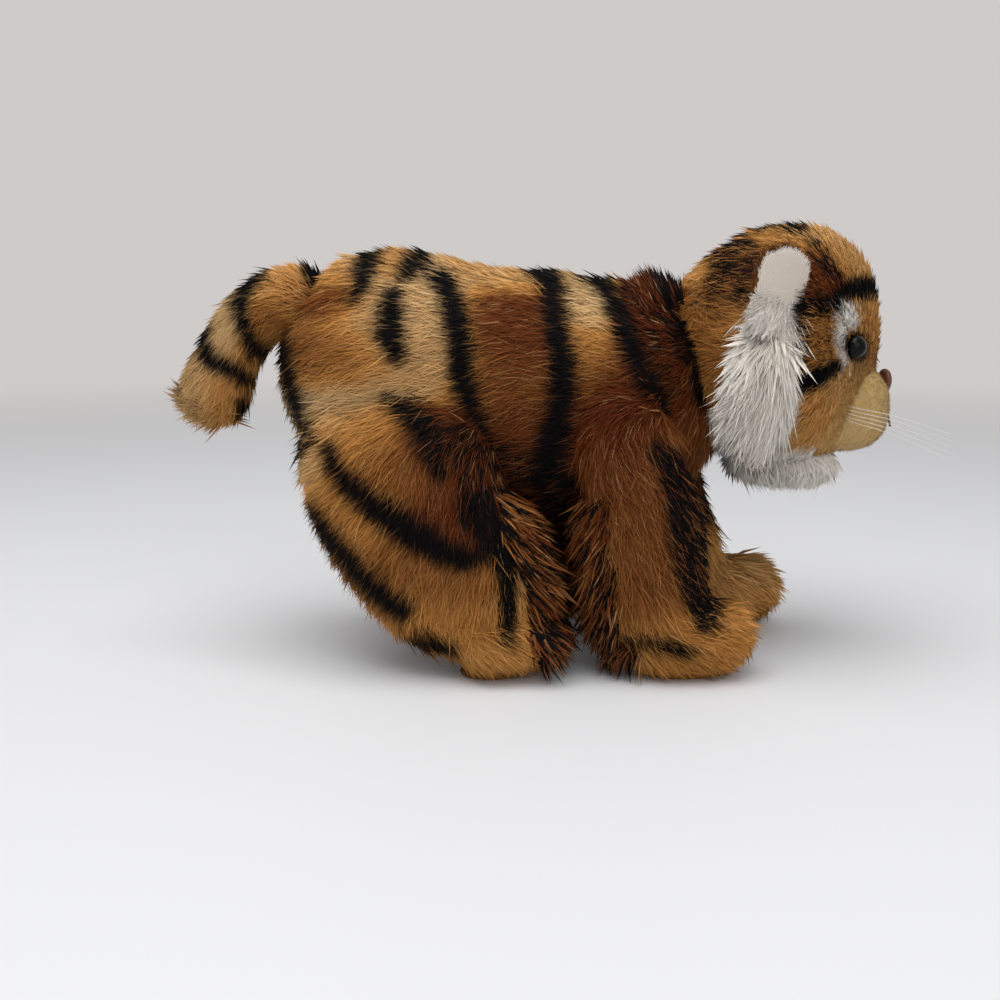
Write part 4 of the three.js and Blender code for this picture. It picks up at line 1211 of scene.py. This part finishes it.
def ruffFlow(points):
    # out from under the ear, back and down
    x, y, z = points.T
    way = normalised(points - columns(101, np.sign(y) * 34, 136))
    back = ramp(x, *turns["ruffBack"]) * ramp(z, *turns["ruffTop"])
    front = ramp(x, *turns["throat"])
    return way + columns(-0.75 * back - 0.3 * front, 0, -0.3 + 0.1 * back)


def templeFlow(points):
    # down, and back where it leaves the head
    return columns(-0.7 * np.clip((93 - points[:, 0]) / 8, -0.3, 1), 0, -1)


def chinFlow(points):
    # down, a little forward and out
    return columns(0.25, 0.25 * np.sign(points[:, 1]), -1)


def earFlow(points):
    # up over the ear, and down out of its root into the ruff, fanning out backward
    rise = np.clip((points[:, 2] - ear["z"] - 7) / 4, -1, 1)
    fan = ramp(points[:, 0], ear["x"] + 3, ear["x"] - 9) * (rise < 0)
    return columns(-0.6 * fan, 0, rise + 0.01)


def straight(*way):
    return lambda points: np.tile(way, (len(points), 1))


def always(value):
    return lambda points: np.full(len(points), float(value))


def napeLength(points):
    return 6 + 7 * ramp(points[:, 0], *turns["nape"])


def legLength(points):
    # longer over the ankle
    return 10 + 4.5 * np.exp(-((points[:, 2] - 34) / 10) ** 2) * (points[:, 0] > 40)


def tailLength(points):
    return 8 + 7 * ramp(points[:, 2], *turns["tailTip"])


def headLength(points):
    # short by the eyes and above the nose, longer over the brow and the crown, and
    # longest at the nape
    x, y, z = points.T
    back, nape = ramp(x, *turns["headBack"]), ramp(x, *turns["headNape"])
    return 3.8 + 4.6 * back + 2.4 * ramp(z, *turns["brow"]) * (1 - back) + 3 * nape


def ruffLength(points):
    # long under the ear, shorter towards the throat
    return (10 + 5 * ramp(points[:, 2], *turns["ruffHigh"])) * (1 - 0.7 * ramp(points[:, 0], *turns["throat"]))


def muzzleLength(points):
    # longer where the muzzle meets the cheek, so that it covers the seam
    return 1.8 + 1.8 * ramp(points[:, 0], *turns["muzzleSeam"])


def earLength(points):
    # long at the root of the ear, above all behind
    low = ramp(points[:, 2], ear["z"] + 7.5, ear["z"] + 2.5)
    return 2 + 12 * low * np.clip((ear["x"] + 8 - points[:, 0]) / 7, 0.2, 1)


def lowDim(points):
    # painted shade: the white pile is greyer low down, and from higher up towards the back
    edge = 99 - 0.8 * (points[:, 0] - 70)
    return 0.58 + 0.42 * np.clip((points[:, 2] - edge) / 10 + 0.4, 0, 1)


def muzzleDim(points):
    # a little darker towards the cheek
    return 0.82 + 0.18 * ramp(points[:, 0], *turns["muzzleFront"])


# Places where a pile grows: each takes the skin's middles and normals

def everywhere(middles, normals):
    return np.ones(len(middles))


def onSide(side, keep):
    return lambda middles, normals: keep(middles, normals) * (middles[:, 1] * side > 0)


def onBody(start, end):
    # a stretch of the body, with less pile where it faces down
    return lambda middles, normals: (
        (middles[:, 0] > start) * (middles[:, 0] <= end) * np.where(normals[:, 2] < -0.6, 0.45, 1))


def atNape(middles, normals):
    return (middles[:, 0] > 50) & (middles[:, 2] > 124)


def onLeg(side, sense, share):
    # the leg's outer or inner half
    return lambda middles, normals: (sense * (middles[:, 1] - side * legs["track"]) > 0) * share


def betweenLegs(facing):
    return lambda middles, normals: (
        (normals[:, 0] * facing > 0.5) & (middles[:, 2] > 14) & (middles[:, 2] < 66))


def onCheek(middles, normals=None):
    # the cheek beside the muzzle, which has the muzzle's short pile
    u, v = seenFromSide(middles)
    uneven = 4 * wander(middles, 7, 7)
    return (u + uneven > 842 - 0.45 * np.maximum(0, v - 395)) & (v + uneven > 364)


def offCheek(middles, normals):
    return ~onCheek(middles)


def underEar(middles, normals):
    # the patch of the head between the ear's root and the top of the ruff
    x, y, z = middles.T
    spot = np.exp(-((z - 121) / 8) ** 2 - ((x - 91) / 7) ** 2)
    return spot * (spot > 0.35) * (np.abs(y) > 20) * (x < 97)


def onFacing(outward):
    return lambda middles, normals: normals @ outward > 0.2


def onEarBack(outward):
    return lambda middles, normals: (normals @ outward < 0.3) & (middles[:, 2] > ear["z"] + 5)


def nearEyes(points):
    # within the bead's own radius of either eye
    return np.minimum.reduce([np.linalg.norm(points - seat, axis=1) for seat in eyeSeats.values()]) < eye["bare"]


mouthLine = np.vstack([points for points, faces in mouthForms])


def nearMouth(points):
    away = ((points[:, None] - mouthLine[None, ::4]) ** 2).sum(-1).min(axis=1) < mouth["bare"] ** 2
    onNose = (((points - nose["centre"]) / (np.array(nose["halves"]) + 0.3)) ** 2).sum(axis=1) < 1
    return away | onNose


# Coats

longCoat = {
    "perMm2": 4.6, "perTuft": 7, "tuftRadius": 1.6, "length": always(10), "lift": 22, "bend": 0.35,
    "gather": 0.24, "droop": 0.04, "width": 0.27, "swirl": 15, "keep": everywhere, "lowShare": 0.3,
    "dim": always(1), "shade": 0.8, "bright": 0, "lit": 0, "bare": None, "clear": [], "material": longPile,
}
bodyCoat = {**longCoat, "flow": torsoFlow, "dye": dyed("torso"), "slot": "flank_plush"}
neighbours = [f"{name}Skin" for name in [*legRides, "head", "tail"]] + ["cheekRuffRight", "cheekRuffLeft"]
bodyThirds = {"Rear": (-200, -30), "Middle": (-30, 22), "Front": (22, 200)}

colourSkin("bodySkin", dyed("torso"), longPile,
           ["body_skin_right", "body_skin_left", "belly_panel"])
for word, side in sideOf.items():
    for third, (start, end) in bodyThirds.items():
        growPile(f"bodyCoat{third}{word.title()}", "bodySkin", "torso", {
            **bodyCoat, "seed": 211 + side + end, "keep": onSide(side, onBody(start, end)),
            "clear": [(name, 1.5) for name in neighbours],
        })
# at the nape the pile stands up against the head
growPile("napeCoat", "bodySkin", "torso", {
    **bodyCoat, "perMm2": 4, "seed": 231, "length": napeLength, "lift": 52, "bend": 0.7, "keep": atNape,
    "clear": [("headSkin", 1.5)],
})
print("body covered")


def soleForm(node):
    # an oval pad as large as the cut face of the paw, flat below
    low, high = (np.array(c) / millimetre - (frameX, 0, 0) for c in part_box(node))
    centre, halves = (low + high) / 2, (high - low) / 2
    heights = np.array([0.0, 0.05, 0.5, 1.2, 1.75, 1.95])
    full = np.array([0.66, 0.7, 0.74, 0.76, 0.74, 0.7])
    line = columns(centre[0], centre[1], heights)
    return ringForm(line, (1, 0, 0), (0, 1, 0), halves[0] * full, halves[1] * full, line[[0, -1]], 48)


def fringeDyeAndShade(points, chance):
    # black and brown fibres among one another; the black is painted shade between the legs
    return (chance * 5.7 % 1 < 0.42).astype(float), 0.55 + 0.35 * (chance * 3.1 % 1), 0 * chance


# flow, slot, and the way in which the fringe of each kind of leg stands out
legCoats = {"front": (frontFlow, "orange_plush", -1), "hind": (hindFlow, "flank_plush", 1)}

for name, (kind, side, stride, body) in legRides.items():
    flow, slot, facing = legCoats[kind]
    region = f"{kind}Left" if stride else kind
    colourSkin(f"{name}Skin", dyed(region), longPile, [f"{body}_outer_skin", f"{body}_inner_skin"])
    legCoat = {
        **longCoat, "seed": 40 + len(name) + side, "flow": flow, "dye": dyed(region), "slot": slot,
        "clear": [("bodySkin", 1.5)], "swirl": 16, "length": legLength,
    }
    for word, sense, share in (("Outer", side, 1), ("Inner", -side, 0.36)):
        growPile(f"{name}Coat{word}", f"{name}Skin", body, {**legCoat, "keep": onLeg(side, sense, share)})
    # between the legs the pile is long, brown and stands out, with black among it as painted shade
    growPile(f"{name}Fringe", f"{name}Skin", body, {
        **legCoat, "perMm2": 3, "width": 0.18, "seed": 140 + len(name) + side, "length": always(15), "lift": 46,
        "bend": 0.55, "flow": straight(0.5 * facing, 0.0, -1.0), "dye": fringeDyeAndShade, "keep": betweenLegs(facing),
    })
    sole = meshObject(f"{name}Sole", [soleForm(f"{body}_sole")], body)
    skins[sole.name] = (sole, 0)
    colourSkin(sole.name, plainDye(0, 0.85, 0), shortPile, [f"{body}_sole"])
print("legs covered")

colourSkin("tailSkin", dyed("tail"), longPile, ["tail_skin_right", "tail_skin_left"])
growPile("tailCoat", "tailSkin", "tail", {
    **longCoat, "perMm2": 5, "seed": 61, "flow": tailFlow, "dye": dyed("tail"), "length": tailLength,
    "clear": [("bodySkin", 2.5)], "slot": "orange_plush", "lift": 26,
})

colourSkin("headSkin", dyed("head"), longPile,
           ["crown_gusset", "head_skin_right", "head_skin_left"], onCheek)
faceParts = [(name, 1.2) for name in ("muzzlePad", "chinPad", "cheekRuffRight", "cheekRuffLeft")]
faceParts.append(("bodySkin", 6))
for word, side in sideOf.items():
    growPile(f"headCoat{word.title()}", "headSkin", "head", {
        **longCoat, "perMm2": 4.8, "tuftRadius": 1.4, "seed": 71 + side, "flow": headFlow,
        "keep": onSide(side, offCheek), "clear": faceParts, "length": headLength, "lift": 30, "width": 0.25,
        "dye": dyed("head"), "slot": "orange_plush", "bare": nearEyes, "bright": 0.7,
    })

whiteDye = plainDye(0, 0.3, 1)
whiteCoat = {
    **longCoat, "perMm2": 9, "perTuft": 8, "tuftRadius": 2.2, "length": ruffLength, "lift": 20, "width": 0.2,
    "flow": ruffFlow, "dye": whiteDye, "slot": "white_plush", "gather": 0.14, "swirl": 12, "droop": 0.08,
    "dim": lowDim, "bright": 0.3, "lit": 0.5,
}
besideFace = [("headSkin", 1), ("bodySkin", 3)]
for word, side in sideOf.items():
    title = word.title()
    colourSkin(f"cheekRuff{title}", whiteDye, longPile, [f"cheek_ruff_{word}"])
    growPile(f"cheekRuffCoat{title}", f"cheekRuff{title}", "head", {
        **whiteCoat, "seed": 81 + side, "clear": besideFace,
    })
    growPile(f"templeCoat{title}", "headSkin", "head", {
        **whiteCoat, "seed": 85 + side, "length": always(11), "lift": 24, "perMm2": 14, "swirl": 6,
        "flow": templeFlow, "keep": onSide(side, underEar),
    })
colourSkin("chinPad", whiteDye, longPile, ["chin_tuft"])
growPile("chinCoat", "chinPad", "head", {
    **whiteCoat, "seed": 91, "flow": chinFlow, "length": always(9), "lift": 24, "perMm2": 7, "dim": always(1),
    "lit": 1.5, "bright": 0.8, "clear": [*besideFace, ("muzzlePad", 1)],
})

velvetDye = plainDye(0, 0.1, 0.05)
velvet = {
    **longCoat, "perMm2": 9.5, "perTuft": 4, "tuftRadius": 1, "seed": 93, "flow": headFlow, "lift": 48,
    "bend": 0.7, "width": 0.22, "gather": 0.1, "bare": nearMouth, "dye": velvetDye, "slot": "short_plush",
    "material": shortPile, "shade": 0.6,
}
colourSkin("muzzlePad", velvetDye, shortPile, ["muzzle_right", "muzzle_left"])
growPile("muzzleCoat", "muzzlePad", "head", {
    **velvet, "perMm2": 8.8, "length": muzzleLength, "dim": muzzleDim, "clear": [("headSkin", 1)],
})
growPile("cheekVelvet", "headSkin", "head", {
    **velvet, "seed": 97, "width": 0.29, "length": always(2.4), "clear": faceParts, "dye": plainDye(0, 0.36, 0),
    "keep": onCheek,
})

earCoat = {**longCoat, "perTuft": 6, "tuftRadius": 1, "clear": [("headSkin", 1)]}
for word, side in sideOf.items():
    title, outward = word.title(), earOutward(side)
    colourSkin(f"earBack{title}", plainDye(0, 0.6, 0), longPile, [f"ear_back_{word}"])
    growPile(f"earBackCoat{title}", f"earBack{title}", "head", {
        **earCoat, "perMm2": 9, "seed": 101 + side, "width": 0.28, "flow": straight(-0.3, 0.0, 1.0),
        "length": always(4), "lift": 30, "keep": onEarBack(outward), "dye": plainDye(0, 0.65, 0),
        "slot": "orange_plush",
    })
    colourSkin(f"earFacing{title}", whiteDye, shortPile, [f"ear_facing_{word}"], along=0.45)
    growPile(f"earFacingCoat{title}", f"earFacing{title}", "head", {
        **earCoat, "perMm2": 18, "perTuft": 4, "seed": 111 + side, "width": 0.2, "flow": earFlow,
        "length": earLength, "lift": 27, "keep": onFacing(outward), "dye": whiteDye, "slot": "white_plush",
        "shade": 0.5, "bright": 0.25,
    })
print("head covered")

for name, piece in frame["nodes"].items():
    if name.startswith("eye_washer"):
        piece.data.materials.clear()
        piece.data.materials.append(washerPlastic)
own = [one.data for one in bpy.data.objects if one.type == "MESH" and one.name not in frame["nodes"]]
print(f"about {sum(len(mesh.loops) - 2 * len(mesh.polygons) for mesh in own)} triangles in all meshes")


# Floor, backdrop and light

backdrop = {
    "floor": "#e3e3e4", "wall": "#cfcbc9", "sky": "#eef0f4", "skyStrength": 0.5,
    "size": 4, "fadeStart": 0.45, "fadeEnd": 1.5,  # metres
}


def paperSweep(size):
    # a floor of matt paper that the camera sees turn into the backdrop with distance
    mesh = bpy.data.meshes.new("paperFloor")
    mesh.from_pydata([(-size, -size, 0), (size, -size, 0), (size, size, 0), (-size, size, 0)], [], [(0, 1, 2, 3)])
    piece = bpy.data.objects.new("paperFloor", mesh)
    scene.collection.objects.link(piece)
    material, tree = startMaterial("mattPaper")
    shader = add(tree, "BsdfPrincipled", {"Base Color": linear(backdrop["floor"]), "Roughness": 0.6})
    place = add(tree, "TexCoord")
    away = add(tree, "VectorMath", {0: place.outputs["Object"]}, operation="LENGTH")
    fade = add(tree, "MapRange", {
        "Value": away.outputs["Value"], "From Min": backdrop["fadeStart"], "From Max": backdrop["fadeEnd"],
    }, interpolation_type="SMOOTHSTEP")
    ray = add(tree, "LightPath").outputs["Is Camera Ray"]
    seen = add(tree, "Math", {0: fade.outputs[0], 1: ray}, operation="MULTIPLY")
    wall = add(tree, "Emission", {"Color": linear(backdrop["wall"])})
    both = add(tree, "MixShader", {0: seen.outputs[0], 1: shader.outputs[0], 2: wall.outputs[0]})
    add(tree, "OutputMaterial", {0: both.outputs[0]})
    mesh.materials.append(material)


def softbox():
    # the camera and gloss see the wall's colour; all else is lit by a pale sky
    world = bpy.data.worlds.new("softbox")
    scene.world = world
    world.use_nodes = True
    tree = world.node_tree
    tree.nodes.clear()
    rays = add(tree, "LightPath").outputs
    seen = add(tree, "Math", {
        0: rays["Is Camera Ray"], 1: rays["Is Glossy Ray"],
    }, operation="MAXIMUM")
    sky = add(tree, "Background", {
        "Color": linear(backdrop["sky"]), "Strength": backdrop["skyStrength"],
    })
    wall = add(tree, "Background", {"Color": linear(backdrop["wall"]), "Strength": 1.0})
    both = add(tree, "MixShader", {0: seen.outputs[0], 1: sky.outputs[0], 2: wall.outputs[0]})
    add(tree, "OutputWorld", {0: both.outputs[0]})


def lamp(name, place, size, power, target=(0, 0, 0.07)):
    # a square lamp turned to the cub's middle, in metres and watts
    data = bpy.data.lights.new(name, "AREA")
    data.size, data.energy = size, power
    light = bpy.data.objects.new(name, data)
    light.location = place
    light.rotation_euler = (Vector(target) - Vector(place)).to_track_quat("-Z", "Y").to_euler()
    scene.collection.objects.link(light)


paperSweep(backdrop["size"])
softbox()
lamp("overhead", (-0.1, -0.25, 0.9), 0.8, 6.5)
lamp("front", (0.3, -1.1, 0.6), 0.9, 3.5)

scene.view_settings.view_transform = "Standard"
